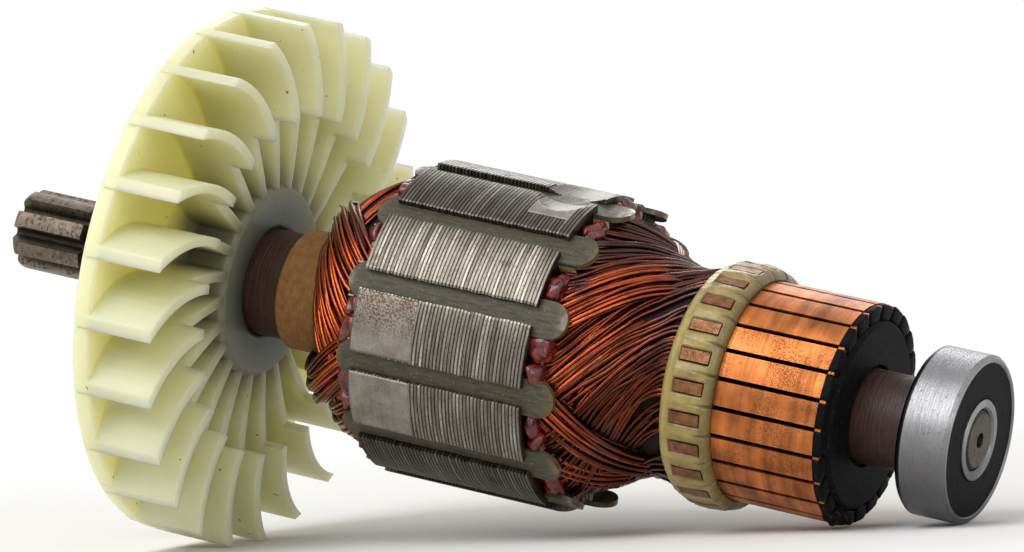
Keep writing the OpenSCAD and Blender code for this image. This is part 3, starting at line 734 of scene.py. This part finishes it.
def evaluated_mesh(obj):
    """The mesh that an object's curve or modifiers come to."""
    depsgraph = bpy.context.evaluated_depsgraph_get()
    return bpy.data.meshes.new_from_object(obj.evaluated_get(depsgraph))


def quads(rows, columns, ring_of_rows=False, ring_of_columns=False):
    """Faces over rows of points, joined round where the rows or the columns make a ring."""
    faces = []
    for i in range(rows if ring_of_rows else rows - 1):
        for j in range(columns if ring_of_columns else columns - 1):
            here, there = i * columns, (i + 1) % rows * columns
            k = (j + 1) % columns
            faces.append((here + j, here + k, there + k, there + j))
    return faces


def shifted(faces, start):
    return [tuple(start + corner for corner in face) for face in faces]


def settle(obj, slot, replaced=(), smooth=True, weld=False):
    """Turns a piece from the shaft's frame into the part's, and puts it on the armature."""
    mesh = obj.data
    mesh.transform(PLACE)
    tidy = bmesh.new()
    tidy.from_mesh(mesh)
    if weld:
        bmesh.ops.remove_doubles(tidy, verts=tidy.verts, dist=1e-6)
    bmesh.ops.recalc_face_normals(tidy, faces=tidy.faces)
    tidy.to_mesh(mesh)
    tidy.free()
    mesh.polygons.foreach_set("use_smooth", [smooth] * len(mesh.polygons))
    mesh.update()
    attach(obj, BODY)
    if replaced:
        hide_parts(*replaced)


def add_piece(name, mesh, material, slot, **settings):
    """Adds a piece of one material and settles it."""
    piece = new_object(name, mesh)
    piece.data.materials.append(material)
    settle(piece, slot, **settings)


def node_tree(name, inputs):
    """A geometry node tree with a Geometry input, the inputs named, and a Geometry output."""
    tree = bpy.data.node_groups.new(name, "GeometryNodeTree")
    sockets(tree, "INPUT", {"Geometry": "Geometry", **inputs, "Material": "Material"})
    sockets(tree, "OUTPUT", {"Geometry": "Geometry"})
    graph = Graph(tree)
    return tree, graph, graph.values(graph.add("NodeGroupInput").outputs)


def end_tree(graph, geometry, material):
    """Closes a tree with Realize Instances and Set Material."""
    real = graph.add("GeometryNodeRealizeInstances", {0: geometry}).outputs[0]
    dressed = graph.add("GeometryNodeSetMaterial", {"Geometry": real, "Material": material}).outputs[0]
    graph.add("NodeGroupOutput", {0: dressed})


def end_copies(graph, line, piece, turn, material):
    """Closes a tree with a turned copy of a piece on each point of a line."""
    copies = {"Points": line, "Instance": piece, "Rotation": turn}
    end_tree(graph, graph.add("GeometryNodeInstanceOnPoints", copies).outputs[0], material)


def grown(name, mesh, tree, values):
    """A plain mesh object made by a tree from a mesh, with the tree's inputs set by name."""
    obj = new_object(name, mesh)
    modifier = obj.modifiers.new("Build", "NODES")
    modifier.node_group = tree
    for item in tree.interface.items_tree:
        if item.item_type == "SOCKET" and item.in_out == "INPUT" and item.name in values:
            modifier[item.identifier] = values[item.name]
    result = evaluated_mesh(obj)
    obj.modifiers.clear()
    obj.data = result
    result.name = name
    return obj


def strands(name, paths, shades, radius, sides, material):
    """Round wires along paths, each with its own shade."""
    lengths = [len(path) for path in paths]
    ends = np.cumsum(lengths)
    edges = [(i, i + 1) for length, end in zip(lengths, ends) for i in range(end - length, end - 1)]
    mesh = mesh_from(name, np.concatenate(paths), edges=edges)
    attribute = mesh.attributes.new("shade", "FLOAT", "POINT")
    attribute.data.foreach_set("value", np.repeat(shades, lengths))
    tree, graph, given = node_tree(name + " tree", {"Radius": "Float", "Sides": "Int"})
    curve = graph.add("GeometryNodeMeshToCurve", {"Mesh": given["Geometry"]}).outputs[0]
    ring = {"Resolution": given["Sides"], "Radius": given["Radius"]}
    ring = graph.add("GeometryNodeCurvePrimitiveCircle", ring).outputs[0]
    tube = {"Curve": curve, "Profile Curve": ring, "Fill Caps": True}
    tube = graph.add("GeometryNodeCurveToMesh", tube).outputs[0]
    smooth = graph.add("GeometryNodeSetShadeSmooth", {"Geometry": tube, "Shade Smooth": True}).outputs[0]
    end_tree(graph, smooth, given["Material"])
    return grown(name, mesh, tree, {"Radius": radius, "Sides": sides, "Material": material})


def sheets_tree():
    """Copies of one sheet in a row along the shaft, each with a little play round it."""
    inputs = {"Sheet": "Object", "Sheets": "Int", "Pitch": "Float", "Play": "Float", "Seed": "Int"}
    tree, graph, given = node_tree("Sheets tree", inputs)
    sheet = graph.add("GeometryNodeObjectInfo", {"Object": given["Sheet"]}).outputs["Geometry"]
    step = graph.vector(0.0, 0.0, given["Pitch"])
    line = graph.add("GeometryNodeMeshLine", {"Count": given["Sheets"], "Offset": step}).outputs[0]
    low = graph.vector(0.0, 0.0, given["Play"] * -1.0)
    play = {0: low, 1: graph.vector(0.0, 0.0, given["Play"]), "Seed": given["Seed"]}
    turn = graph.add("FunctionNodeRandomValue", play, data_type="FLOAT_VECTOR").outputs[0]
    end_copies(graph, line, sheet, turn, given["Material"])
    return tree


def ring_tree():
    """Copies of the given piece turned evenly round the shaft, each with a little play."""
    inputs = {"Count": "Int", "Turn": "Float", "Play": "Float", "Seed": "Int"}
    tree, graph, given = node_tree("Ring tree", inputs)
    line = graph.add("GeometryNodeMeshLine", {"Count": given["Count"], "Offset": (0.0, 0.0, 0.0)}).outputs[0]
    index = Value(graph, graph.add("GeometryNodeInputIndex").outputs[0])
    step = graph.math("DIVIDE", math.tau, given["Count"])
    play = {2: given["Play"] * -1.0, 3: given["Play"], "Seed": given["Seed"]}
    play = graph.add("FunctionNodeRandomValue", play, data_type="FLOAT").outputs[1]
    turn = index * step + (given["Turn"] + play)
    end_copies(graph, line, given["Geometry"], graph.vector(0.0, 0.0, turn), given["Material"])
    return tree


def sheet_outline():
    """Outer outline of one lamination: tooth shoes with slot mouths, bodies and slots between."""
    half_mouth, shoe, worn, sag, round_floor, steps = 1.29, 0.85, 0.08, 0.1, 1.2, 14
    top = STACK_R - shoe
    half_top, half_bottom, bottom = 2.6, 1.7, 11.6
    corner = math.asin(half_mouth / STACK_R)
    side = math.asin(half_mouth / top)
    wall = math.asin(half_top / top)
    floor = math.asin(half_bottom / bottom)
    wall_side = [(STACK_R - worn, corner), (top, side), (top - sag, wall), (bottom, floor)]
    points = []
    for i in range(SLOTS):
        middle = FIRST_SLOT + i * SLOT_PITCH
        points += [(radius, middle - turn) for radius, turn in wall_side]
        points += [(bottom - round_floor, middle)]
        points += [(radius, middle + turn) for radius, turn in reversed(wall_side)]
        first, last = middle + corner, middle + SLOT_PITCH - corner
        points += [(STACK_R, first + (last - first) * (k + 0.5) / steps) for k in range(steps)]
    return [(r * math.cos(a), r * math.sin(a)) for r, a in points]


def sheet_mesh(thickness):
    """One lamination as a filled flat outline with its bore, given a thickness."""
    curve = bpy.data.curves.new("Sheet outline", "CURVE")
    curve.dimensions = "2D"
    curve.fill_mode = "BOTH"
    curve.extrude = thickness / 2
    turns = np.linspace(0, math.tau, 36, endpoint=False)
    bore = [(CORE_R * math.cos(turn), CORE_R * math.sin(turn)) for turn in turns]
    for outline in (sheet_outline(), bore):
        spline = curve.splines.new("POLY")
        spline.points.add(len(outline) - 1)
        for point, (x, y) in zip(spline.points, outline):
            point.co = (x, y, 0, 1)
        spline.use_cyclic_u = True
    obj = new_object("Sheet", curve)
    mesh = evaluated_mesh(obj)
    bpy.data.objects.remove(obj)
    return mesh


def grind(points):
    """Sinks points that lie inside the balancing cut to its cylinder."""
    outward = np.array([math.cos(CUT_TURN), math.sin(CUT_TURN), 0])
    middle = outward * (STACK_R + CUTTER_R - CUT_DEPTH) + np.array([0, 0, CUT_AT])
    reach = (points - middle) @ outward
    along = points[:, 2] - middle[2]
    limit = np.sqrt(np.clip(CUTTER_R**2 - along**2, 0, None))
    sink = np.where((np.abs(along) < CUTTER_R) & (np.abs(reach) < limit), limit - np.abs(reach), 0)
    return points - sink[:, None] * outward


def coil_line(side, layer, slot, share):
    """Centre line of a coil's end turn and the outward normal of its surface."""
    f = np.sin(math.pi * np.clip(share, 0, 1)) ** 0.8
    face, first_reach, more_reach, neck, power = END_TURNS[side]
    reach = first_reach + more_reach * layer
    start = TURN_START + TURN_STEP * layer
    radius = neck + (start - neck) * (1 - f**power)
    along = reach * f
    rise = power * f ** (power - 1) * (start - neck)
    length = np.hypot(reach, rise)
    angle = FIRST_SLOT - SLOT_PITCH * (slot + COIL_SPAN * share)
    line = polar(radius, angle, face + side * along)
    out = polar(reach / length, angle, 0) + np.stack([0 * f, 0 * f, side * rise / length], axis=-1)
    return line, out


def coil_layer(coil):
    """How high a coil lies in the pile of end turns: coils 2 and 8 are wound first, 3 and 9 last."""
    return (2 - coil) % (SLOTS // 2)


def ease(t):
    """A share of 0 to 1 that starts and ends slowly."""
    return t * t * (3 - 2 * t)


def drift(count, stations, spread):
    """Smooth random courses, one a wire, through a few stations."""
    knots = random.normal(0, spread, (count, 5))
    x = np.linspace(0, 4, stations)
    low = np.clip(np.floor(x).astype(int), 0, 3)
    t = ease(x - low)
    return knots[:, low] * (1 - t) + knots[:, low + 1] * t


def coil_paths(side, wires, diameter):
    """Paths of all the wires of the end turns on one side, bundle by bundle."""
    paths, shades = [], []
    stations, columns, half_width, tuck = 40, 9, 2.75, 1.5
    rows = math.ceil(wires / columns)
    share = np.linspace(0, 1, stations)
    for coil in range(SLOTS):
        layer = coil_layer(coil)
        line, out = coil_line(side, layer, coil, share)
        along = np.gradient(line, axis=0)
        along /= np.linalg.norm(along, axis=1, keepdims=True)
        across = np.cross(along, out)
        across /= np.linalg.norm(across, axis=1, keepdims=True)
        f = np.sin(math.pi * share)
        width = diameter * (0.94 + 0.1 * f)
        sideways = drift(wires, stations, 0.55)
        up = drift(wires, stations, 0.22)
        tone = random.uniform(-0.12, 0.12)
        for wire in range(wires):
            row, column = divmod(wire, columns)
            u = (column - (columns - 1) / 2 + 0.5 * (row % 2) + sideways[wire]) * width
            u = np.clip(u, -half_width, half_width)
            v = (row - (rows - 1) / 2 + up[wire]) * diameter * 0.9 - 0.035 * u**2
            path = line + across * u[:, None] + out * v[:, None]
            inner = path[:1].copy(), path[-1:].copy()
            for end in inner:
                end[:, 2] -= side * tuck
            paths.append(np.concatenate([inner[0], path, inner[1]]))
            # A lighter shade for each row further out: painted shade on the inner rows, deeper in the pile.
            shades.append(0.42 + tone + random.uniform(-0.2, 0.2) + 0.1 * row)
    return paths, shades


def core_radius(along):
    """Radius of the winding under its outer coils, between the stack and the riser."""
    out = STACK[0] - along
    return np.interp(out, [0, 3, 6, 9, 12, 14, 16.5], [17.8, 17.2, 15.6, 13.8, 12.6, 12.6, 13.4])


def lead_paths(bundles, wires, diameter):
    """Bundles of inner turns and leads that cross the core from the slots to the riser."""
    paths, shades = [], []
    t = np.linspace(0, 1, 28)
    for bundle in range(bundles):
        turn = math.radians(random.uniform(50, 82))
        first = math.tau * (bundle + random.uniform(-0.2, 0.2)) / bundles
        height = random.uniform(0.0, 0.7)
        along = STACK[0] - 1.0 - (STACK[0] - RISER[1] - 0.4) * t
        courses = drift(wires, len(t), 0.6)
        # Darker tones than the outer coils: painted shade on the leads, which lie beneath them.
        tone = random.uniform(0.02, 0.3)
        for wire in range(wires):
            place = (wire - (wires - 1) / 2 + courses[wire]) * diameter * 1.02
            radius = core_radius(along) + height + 0.35 * np.sin(math.pi * t) + 0.3 * (wire % 2)
            paths.append(polar(radius, first + turn * ease(t) + place / radius, along))
            shades.append(tone + random.uniform(-0.12, 0.2))
    return paths, shades


def lump(centre_angle, along, radius, half, seed, power=0.72, uneven=0.42):
    """A rounded, uneven lump; a lower power makes it boxier."""
    rings, segments = 14, 20
    points = []
    for i in range(rings + 1):
        tall = math.pi * i / rings
        for j in range(segments):
            flat = math.tau * j / segments
            x, y, z = math.cos(tall), math.sin(tall) * math.cos(flat), math.sin(tall) * math.sin(flat)
            x, y, z = (math.copysign(abs(c) ** power, c) for c in (x, y, z))
            rough = noise.noise(Vector((x * 1.1 + seed, y * 1.3, z * 1.1 - seed))) * uneven
            x, y, z = (c * (1 + rough) for c in (x, y, z))
            angle = centre_angle + y * half[1] / radius
            points.append(polar(radius + x * half[0], angle, along + z * half[2]))
    return np.array(points), quads(rings + 1, segments, ring_of_columns=True)


def slab(name, blocks):
    """Closed curved plates over ranges of angle and station, ground to the balancing cut."""
    columns, rows, proud, thickness = 24, 40, 0.012, 0.5
    points, faces, start = [], [], 0
    for (first, last), (low, high) in blocks:
        angle = np.linspace(first, last, columns)[:, None]
        along = np.linspace(low, high, rows)[None, :]
        top = grind(polar(STACK_R + proud, angle, along).reshape(-1, 3))
        points += [top, top - (top * [1, 1, 0]) / STACK_R * thickness]
        count = columns * rows
        plate = quads(columns, rows)
        faces += shifted(plate, start) + shifted([face[::-1] for face in plate], start + count)
        ring = list(range(rows)) + [i * rows + rows - 1 for i in range(1, columns)]
        ring += [(columns - 1) * rows + j for j in range(rows - 2, -1, -1)]
        ring += [i * rows for i in range(columns - 2, 0, -1)]
        for a, b in zip(ring, ring[1:] + ring[:1]):
            faces.append((start + b, start + a, start + count + a, start + count + b))
        start += 2 * count
    return mesh_from(name, np.concatenate(points), faces)


def ground_blocks():
    """Angles and stations of the ground flats: two at the fan end, two at the balancing cut."""
    top, cut_side, front, lower = (math.radians(3 - 30 * tooth) for tooth in (0, 1, 3, 4))
    half = math.radians(11.1)
    fan_end = (STACK[1] - 8.9, STACK[1] - 0.15)
    return [
        ((front - half, front + half), fan_end),
        ((lower - half, lower + half), fan_end),
        ((top - half, top + half), (STACK[0] + 0.55, STACK[0] + 8.6)),
        ((cut_side - 0.3 * half, cut_side + half), (STACK[0] + 1.6, STACK[0] + 7.6)),
    ]


def revolve(name, profile):
    """A closed outline of (radius, station) turned round the shaft."""
    segments = 96
    profile = np.array(profile)
    angles = np.linspace(0, math.tau, segments, endpoint=False)
    points = polar(profile[None, :, 0], angles[:, None], profile[None, :, 1]).reshape(-1, 3)
    return mesh_from(name, points, quads(segments, len(profile), True, True))


# ---------------------------------------------------------------- settings


def length(name, description, default):
    settings = {"default": default, "min": 0.0, "unit": "LENGTH", "precision": 5}
    return FloatProperty(name=name, description=description, **settings)


def number(name, description, default, low, high):
    return IntProperty(name=name, description=description, default=default, min=low, max=high)


class ArmatureSizes(PropertyGroup):
    """Sizes of the pieces that the dressing adds."""

    wire_diameter: length("Wire diameter", "Enamelled wire of the winding", 0.00058)
    sheet_thickness: length("Sheet thickness", "Thickness of one lamination, less its gap", 0.00041)
    sheet_play: FloatProperty(
        name="Sheet play",
        description="Random turn of the laminations",
        default=math.radians(0.22),
        subtype="ANGLE",
    )
    coil_wires: number("Wires a coil", "Wires shown in each end turn", 24, 9, 36)
    wire_sides: number("Wire sides", "Flat sides of a wire", 6, 4, 12)


def colour(name, description, code):
    return FloatVectorProperty(
        name=name, description=description, default=srgb(code), subtype="COLOR", size=3, min=0.0, max=1.0
    )


class ArmatureColours(PropertyGroup):
    """Base colours of the main materials."""

    nylon: colour("Fan nylon", "Milky nylon of the fan", "#dedb9f")
    copper: colour("Bar copper", "Copper of the commutator track", "#c9773f")
    enamel: colour("Wire enamel", "Enamelled wire of the end turns", "#b95227")
    varnish: colour("Varnish", "Lumps of insulating varnish", "#8a1a20")
    resin: colour("Riser resin", "Moulded resin over the risers", "#a38d47")
    moulding: colour("Moulding", "Black moulding at the commutator's end", "#1c1b1e")
    floor: colour("Floor", "Studio floor", "#f4f3f0")


# ---------------------------------------------------------------- operators


def put_on(material, *nodes):
    """Gives CAD nodes a material in their own slots."""
    for node in nodes:
        slots = frame["nodes"][node].material_slots
        for slot in slots:
            slot.material = material
        if not slots:
            frame["nodes"][node].data.materials.append(material)


class ARMATURE_OT_shaft(Operator):
    """Finish the shaft, its sleeve and the collar behind the fan"""

    bl_idname = "armature.shaft"
    bl_label = "Shaft and sleeve"

    def execute(self, context):
        put_on(shaft_steel(), "shaft")
        put_on(sleeve_resin(), "shaft_sleeve")
        put_on(collar_board(), "insulating_collar")
        return {"FINISHED"}


class ARMATURE_OT_bearing(Operator):
    """Finish the ball bearing"""

    bl_idname = "armature.bearing"
    bl_label = "Ball bearing"

    def execute(self, context):
        put_on(bearing_steel(), "bearing_outer_ring", "bearing_inner_ring", "bearing_balls")
        put_on(cage_steel(), "bearing_cage")
        put_on(seal_rubber(), "bearing_front_seal", "bearing_back_seal")
        return {"FINISHED"}


class ARMATURE_OT_fan(Operator):
    """Finish the moulded fan"""

    bl_idname = "armature.fan"
    bl_label = "Fan"

    def execute(self, context):
        put_on(fan_nylon(), "fan")
        return {"FINISHED"}


class ARMATURE_OT_stack(Operator):
    """Build the lamination stack sheet by sheet, with its balancing cut, wedges and liners"""

    bl_idname = "armature.stack"
    bl_label = "Lamination stack"

    def execute(self, context):
        sizes = context.scene.armature_sizes
        sheet = new_object("Sheet", sheet_mesh(sizes.sheet_thickness / MM))
        values = {"Sheet": sheet, "Sheets": SHEETS, "Pitch": SHEET_PITCH, "Play": sizes.sheet_play, "Seed": 3}
        values["Material"] = lamination_steel()
        stack = grown("Laminations", mesh_from("Sheets", [(0, 0, 0)]), sheets_tree(), values)
        bpy.data.objects.remove(sheet)
        stack.data.transform(Matrix.Translation((0, 0, STACK[0] + SHEET_PITCH / 2)))
        stack.data.vertices.foreach_set("co", grind(vertices(stack.data)).ravel())
        settle(stack, slot="lamination_steel", replaced=["lamination_stack"], smooth=False)
        flats = slab("Ground flats", ground_blocks())
        add_piece("Ground_flats", flats, ground_steel(), "lamination_steel")
        put_on(slot_wedge_board(), *[f"slot_wedge_{i:02d}" for i in range(1, SLOTS + 1)])
        put_on(liner_paper(), "slot_liners")
        return {"FINISHED"}


class ARMATURE_OT_end_pieces(Operator):
    """Pile lumps of crimson varnish on the tooth ends at both faces of the stack"""

    bl_idname = "armature.end_pieces"
    bl_label = "Varnished tooth ends"

    def execute(self, context):
        varnish = crimson_varnish()
        for name, face, side in (("fan_end_piece", STACK[1], 1), ("commutator_end_piece", STACK[0], -1)):
            points, faces, start = [], [], 0
            for tooth in range(SLOTS):
                angle = FIRST_SLOT + (tooth + 0.5) * SLOT_PITCH
                for part in range(3):
                    across = (part - 1) * LUMP_PITCH + random.normal(0, 0.02)
                    half = (random.uniform(1.3, 1.9), random.uniform(1.3, 2.0), random.uniform(0.8, 1.5))
                    radius = LUMP_R + random.uniform(-0.6, 0.5)
                    along = face + side * (0.5 + random.uniform(0, 0.8))
                    some, more = lump(angle + across, along, radius, half, random.uniform(0, 50))
                    points.append(some)
                    faces += shifted(more, start)
                    start += len(some)
            mesh = mesh_from(name, np.concatenate(points), faces)
            add_piece("Varnish_" + name, mesh, varnish, "varnished_insulation", replaced=[name], weld=True)
        return {"FINISHED"}


class ARMATURE_OT_windings(Operator):
    """Wind the end turns wire by wire, with the leads to the riser and the copper in the slots"""

    bl_idname = "armature.windings"
    bl_label = "Windings"

    def execute(self, context):
        sizes = context.scene.armature_sizes
        diameter = sizes.wire_diameter / MM
        wire = enamelled_wire()
        core = shaded_varnish_core()
        for side, node in ((1, "winding_fan_end"), (-1, "winding_commutator_end")):
            paths, shades = coil_paths(side, sizes.coil_wires, diameter)
            if side < 0:
                more, tones = lead_paths(20, 8, diameter)
                paths, shades = paths + more, shades + tones
            turns = strands("Wires_" + node, paths, shades, diameter / 2, sizes.wire_sides, wire)
            settle(turns, slot="magnet_wire", replaced=[node])
        # Near-black cores fill the depths beneath the wires and stand for the shade there.
        fan_side = [(radius, STACK[1] + out) for radius, out in FAN_END_CORE]
        steps = np.linspace(STACK[0], RISER[1], 9)
        bar_side = [(CORE_BORE, STACK[0]), *zip(core_radius(steps), steps), (CORE_BORE, RISER[1])]
        for name, outline in (("Core_fan_end", fan_side), ("Core_commutator_end", bar_side)):
            add_piece(name, revolve(name, outline), core, "magnet_wire")
        put_on(core, "slot_conductors")
        return {"FINISHED"}


def hill(x, width):
    return math.exp(-((x / width) ** 2))


def resin_band():
    """The resin band: bulged between the risers, sunk round them, notched at the bar gaps."""
    side = [3.05, 3.55, 4.5, 5.6, 6.6, 7.1]
    half_bar = 7.5
    turns = [-half_bar, *(-turn for turn in reversed(side)), 0.0, *side]
    low, high = RISER
    tang = (low + 1.2, low + 5.2)
    rim, sunk_rim = 0.04, 0.17
    stations = [low, low + 0.12, low + 0.4, low + 0.8, tang[0] - sunk_rim, tang[0] - rim]
    stations += [low + 2.0, low + 3.2, low + 4.4, tang[1] + rim, tang[1] + sunk_rim]
    stations += [high - 1.5, high - 1.2, high - 0.8, high - 0.35, high]
    profile = [14.75, 15.15, 15.5, 15.72, 15.8, 15.82, 15.86, 15.9]
    profile += [15.92, 15.95, 15.95, 15.86, 15.62, 15.5, 15.3, 14.9]
    floor, bulge, unevenness, notch_depth = 14.8, 0.3, 0.16, 0.75
    points, hollow = [], []
    for bar in range(BAR_COUNT):
        middle = FIRST_BAR_SLOT + math.tau / BAR_COUNT * (bar + 0.5)
        shift = random.uniform(-0.3, 0.3)
        for turn in turns:
            angle = middle + math.radians(turn)
            between = abs(turn) - half_bar
            for along, radius in zip(stations, profile):
                share = (along - low) / (high - low)
                rough = noise.noise(Vector((bar * 1.9 + turn * 0.22, along * 0.7, 3.0)))
                radius += bulge * hill(between, 2.4) * hill(share - 0.42, 0.26) + unevenness * rough
                sunk = abs(turn) < 3.1 and tang[0] - 0.05 < along < tang[1] + 0.05
                notch = max(0.0, 1 - share / 0.3) * hill(between, 0.42)
                radius = floor if sunk else radius - notch_depth * notch
                edge = abs(turn) < 3.6 and tang[0] - 0.2 < along < tang[1] + 0.2
                points.append(polar(radius, angle, along + 0.12 * shift * (share < 0.1)))
                # How much painted shade the material lays on each point.
                hollow.append(1.0 if sunk else max(0.55 * edge, min(1.0, notch * 1.3)))
            for along in (high, low):
                points.append(polar(BAR_R + 0.03, angle, along))
                hollow.append(0.5)
    mesh = mesh_from("Resin band", points, quads(BAR_COUNT * len(turns), len(stations) + 2, True, True))
    mesh.attributes.new("hollow", "FLOAT", "POINT").data.foreach_set("value", hollow)
    return mesh


def slit_mesh():
    """The end of one copper bar, seen between two knobs as a thin upright block."""
    half = 0.012
    block = [polar(r, a, z) for r in (13.5, 14.3) for a in (-half, half) for z in (-0.85, -0.05)]
    sides = [(0, 1, 3, 2), (4, 6, 7, 5), (0, 4, 5, 1), (2, 3, 7, 6), (0, 2, 6, 4), (1, 5, 7, 3)]
    return mesh_from("Slit", np.array(block) + [0, 0, BARS[0]], sides)


def chip_mesh():
    """The broken, crumbly edge of the black moulding, low on its front side."""
    half = (1.1, 2.9, 1.0)
    broken, faces = lump(math.radians(-162.4), BARS[0] - 0.5, 13.5, half, seed=21.0)
    crumbs = np.array([noise.noise(Vector(point) * 2.6) for point in broken])
    broken[:, 2] += crumbs * 0.5
    broken[:, :2] *= 1 + crumbs[:, None] * 0.03
    return mesh_from("Chipped edge", broken, faces)


def knob_mesh():
    """One knob of the black end ring, a rounded block at the top of the shaft's frame."""
    half = (0.98, 1.66, 0.7)
    points, faces = lump(0.0, BARS[0] - 0.4, KNOB_R, half, seed=4.0, power=0.4, uneven=0.12)
    return mesh_from("Knob", points, faces)


class ARMATURE_OT_commutator(Operator):
    """Build the commutator: bars, resin over the risers, black moulding with knobs and copper slits"""

    bl_idname = "armature.commutator"
    bl_label = "Commutator"

    def execute(self, context):
        copper = bar_copper()
        put_on(copper, *[f"commutator_bar_{i:02d}" for i in range(1, BAR_COUNT + 1)])
        add_piece("Resin_band", resin_band(), riser_resin(), "riser_resin", replaced=["riser_resin"])
        black = black_moulding()
        put_on(black, "commutator_core")
        tree = ring_tree()
        half = math.pi / BAR_COUNT
        values = {"Count": BAR_COUNT, "Turn": FIRST_BAR_SLOT + half, "Play": 0.012, "Seed": 5}
        values["Material"] = black
        knobs = grown("End_knobs", knob_mesh(), tree, values)
        settle(knobs, slot="core_moulding", weld=True)
        values.update({"Turn": FIRST_BAR_SLOT, "Material": copper})
        slits = grown("End_slits", slit_mesh(), tree, values)
        settle(slits, slot="copper_bars", smooth=False)
        add_piece("Chipped_edge", chip_mesh(), black, "core_moulding", weld=True, smooth=False)
        return {"FINISHED"}


# Where the kept shadow has its middle along X and where it fades, in metres
SHADOW_MIDDLE, SHADOW_FADE = -0.06, (0.1, 0.24)
# Name, place, aim, size in metres and power in watts
LAMPS = (
    ("Key", (-0.35, -0.75, 0.85), (-0.05, 0, 0.03), 0.9, 9.5),
    ("Fill", (0.9, -0.7, 0.35), (-0.03, 0, 0.03), 0.6, 3.0),
    ("Rim", (-0.5, 0.8, 0.6), (-0.05, 0, 0.03), 0.5, 2.5),
)
SKY_LIGHT = 0.5
# Place and aim of the camera in millimetres
CAMERA_PLACE = (378.62, -875.27, 59.02)
CAMERA_AIM = (-49.419, -23.862, 23.721)
CAMERA_ROLL = math.radians(-3.65)
CAMERA_LENS = 263.87


class ARMATURE_OT_stage(Operator):
    """Set up the floor, the soft lamps, the world and the camera"""

    bl_idname = "armature.stage"
    bl_label = "Studio"

    def execute(self, context):
        scene = context.scene
        low = CAD_BOX[0][2]
        corners = [(-3, -3, low), (3, -3, low), (3, 3, low), (-3, 3, low)]
        floor = new_object("Floor", mesh_from("Floor", corners, [(0, 1, 2, 3)]))
        floor.data.materials.append(floor_paint(paint("floor")))
        for settings in LAMPS:
            lamp(*settings)
        studio_world(scene)
        camera_data = bpy.data.cameras.new("Camera")
        camera_data.sensor_width = 36
        camera_data.lens = CAMERA_LENS
        camera = new_object("Camera", camera_data)
        place = Vector(CAMERA_PLACE) * MM
        camera.matrix_world = look_from(place, Vector(CAMERA_AIM) * MM) @ Matrix.Rotation(CAMERA_ROLL, 4, "Z")
        scene.camera = camera
        scene.view_settings.view_transform = "Standard"
        return {"FINISHED"}


def seen_directly(graph):
    """1 for what the camera sees, straight, through glass or in a reflection."""
    path = graph.add("ShaderNodeLightPath").outputs
    seen = graph.maximum(path["Is Camera Ray"], path["Is Transmission Ray"])
    return graph.maximum(seen, path["Is Glossy Ray"])


def floor_paint(floor):
    """Pale floor that keeps the shadow near the object and turns plain white further off."""
    made = bpy.data.materials.new("Floor paint")
    graph = Graph(cleared(made))
    position = graph.add("ShaderNodeTexCoord").outputs["Object"]
    off = graph.stretch(graph.vector_math("ADD", position, (-SHADOW_MIDDLE, 0.0, 0.0)), (1.0, 1.0, 0.0))
    off = graph.vector_math("LENGTH", off, output="Value")
    away = seen_directly(graph) * graph.fit(off, *SHADOW_FADE, smooth=True)
    near = {"Base Color": rgba(floor), "Roughness": 0.8, "Specular IOR Level": 0.0}
    near = graph.add("ShaderNodeBsdfPrincipled", near).outputs[0]
    white = graph.add("ShaderNodeEmission", {"Color": (1, 1, 1, 1), "Strength": 1.0}).outputs[0]
    mixed = graph.add("ShaderNodeMixShader", {0: away, 1: near, 2: white}).outputs[0]
    graph.add("ShaderNodeOutputMaterial", {"Surface": mixed})
    return made


def look_from(place, aim):
    """The placing of a camera or a lamp that looks at a point."""
    direction = Vector(aim) - Vector(place)
    return Matrix.Translation(place) @ direction.to_track_quat("-Z", "Y").to_matrix().to_4x4()


def lamp(name, place, aim, size, power):
    data = bpy.data.lights.new(name, "AREA")
    data.shape = "SQUARE"
    data.size = size
    data.energy = power
    new_object(name, data).matrix_world = look_from(place, aim)


def studio_world(scene):
    """White to the camera and in reflections, a softer grey as light."""
    world = bpy.data.worlds.new("Studio")
    scene.world = world
    graph = Graph(cleared(world))
    strength = graph.fit(seen_directly(graph), 0.0, 1.0, SKY_LIGHT, 1.0)
    sky = graph.add("ShaderNodeBackground", {"Color": (1, 1, 1, 1), "Strength": strength}).outputs[0]
    graph.add("ShaderNodeOutputWorld", {"Surface": sky})


STEPS = (
    ARMATURE_OT_shaft,
    ARMATURE_OT_bearing,
    ARMATURE_OT_fan,
    ARMATURE_OT_stack,
    ARMATURE_OT_end_pieces,
    ARMATURE_OT_windings,
    ARMATURE_OT_commutator,
    ARMATURE_OT_stage,
)


class ARMATURE_PT_panel(Panel):
    """Sizes, colours and build steps of the armature"""

    bl_idname = "ARMATURE_PT_panel"
    bl_label = "Motor armature"
    bl_space_type = "VIEW_3D"
    bl_region_type = "UI"
    bl_category = "Armature"

    def draw(self, context):
        layout = self.layout
        for group in (context.scene.armature_sizes, context.scene.armature_colours):
            box = layout.box()
            for name in group.__annotations__:
                box.prop(group, name)
        for step in STEPS:
            layout.operator(step.bl_idname)


CLASSES = (ArmatureSizes, ArmatureColours, *STEPS, ARMATURE_PT_panel)


def register():
    for cls in CLASSES:
        bpy.utils.register_class(cls)
    bpy.types.Scene.armature_sizes = PointerProperty(type=ArmatureSizes)
    bpy.types.Scene.armature_colours = PointerProperty(type=ArmatureColours)


def unregister():
    del bpy.types.Scene.armature_colours
    del bpy.types.Scene.armature_sizes
    for cls in reversed(CLASSES):
        bpy.utils.unregister_class(cls)


def main():
    register()
    for step in STEPS:
        group, name = step.bl_idname.split(".")
        getattr(getattr(bpy.ops, group), name)()


if __name__ == "__main__":
    main()
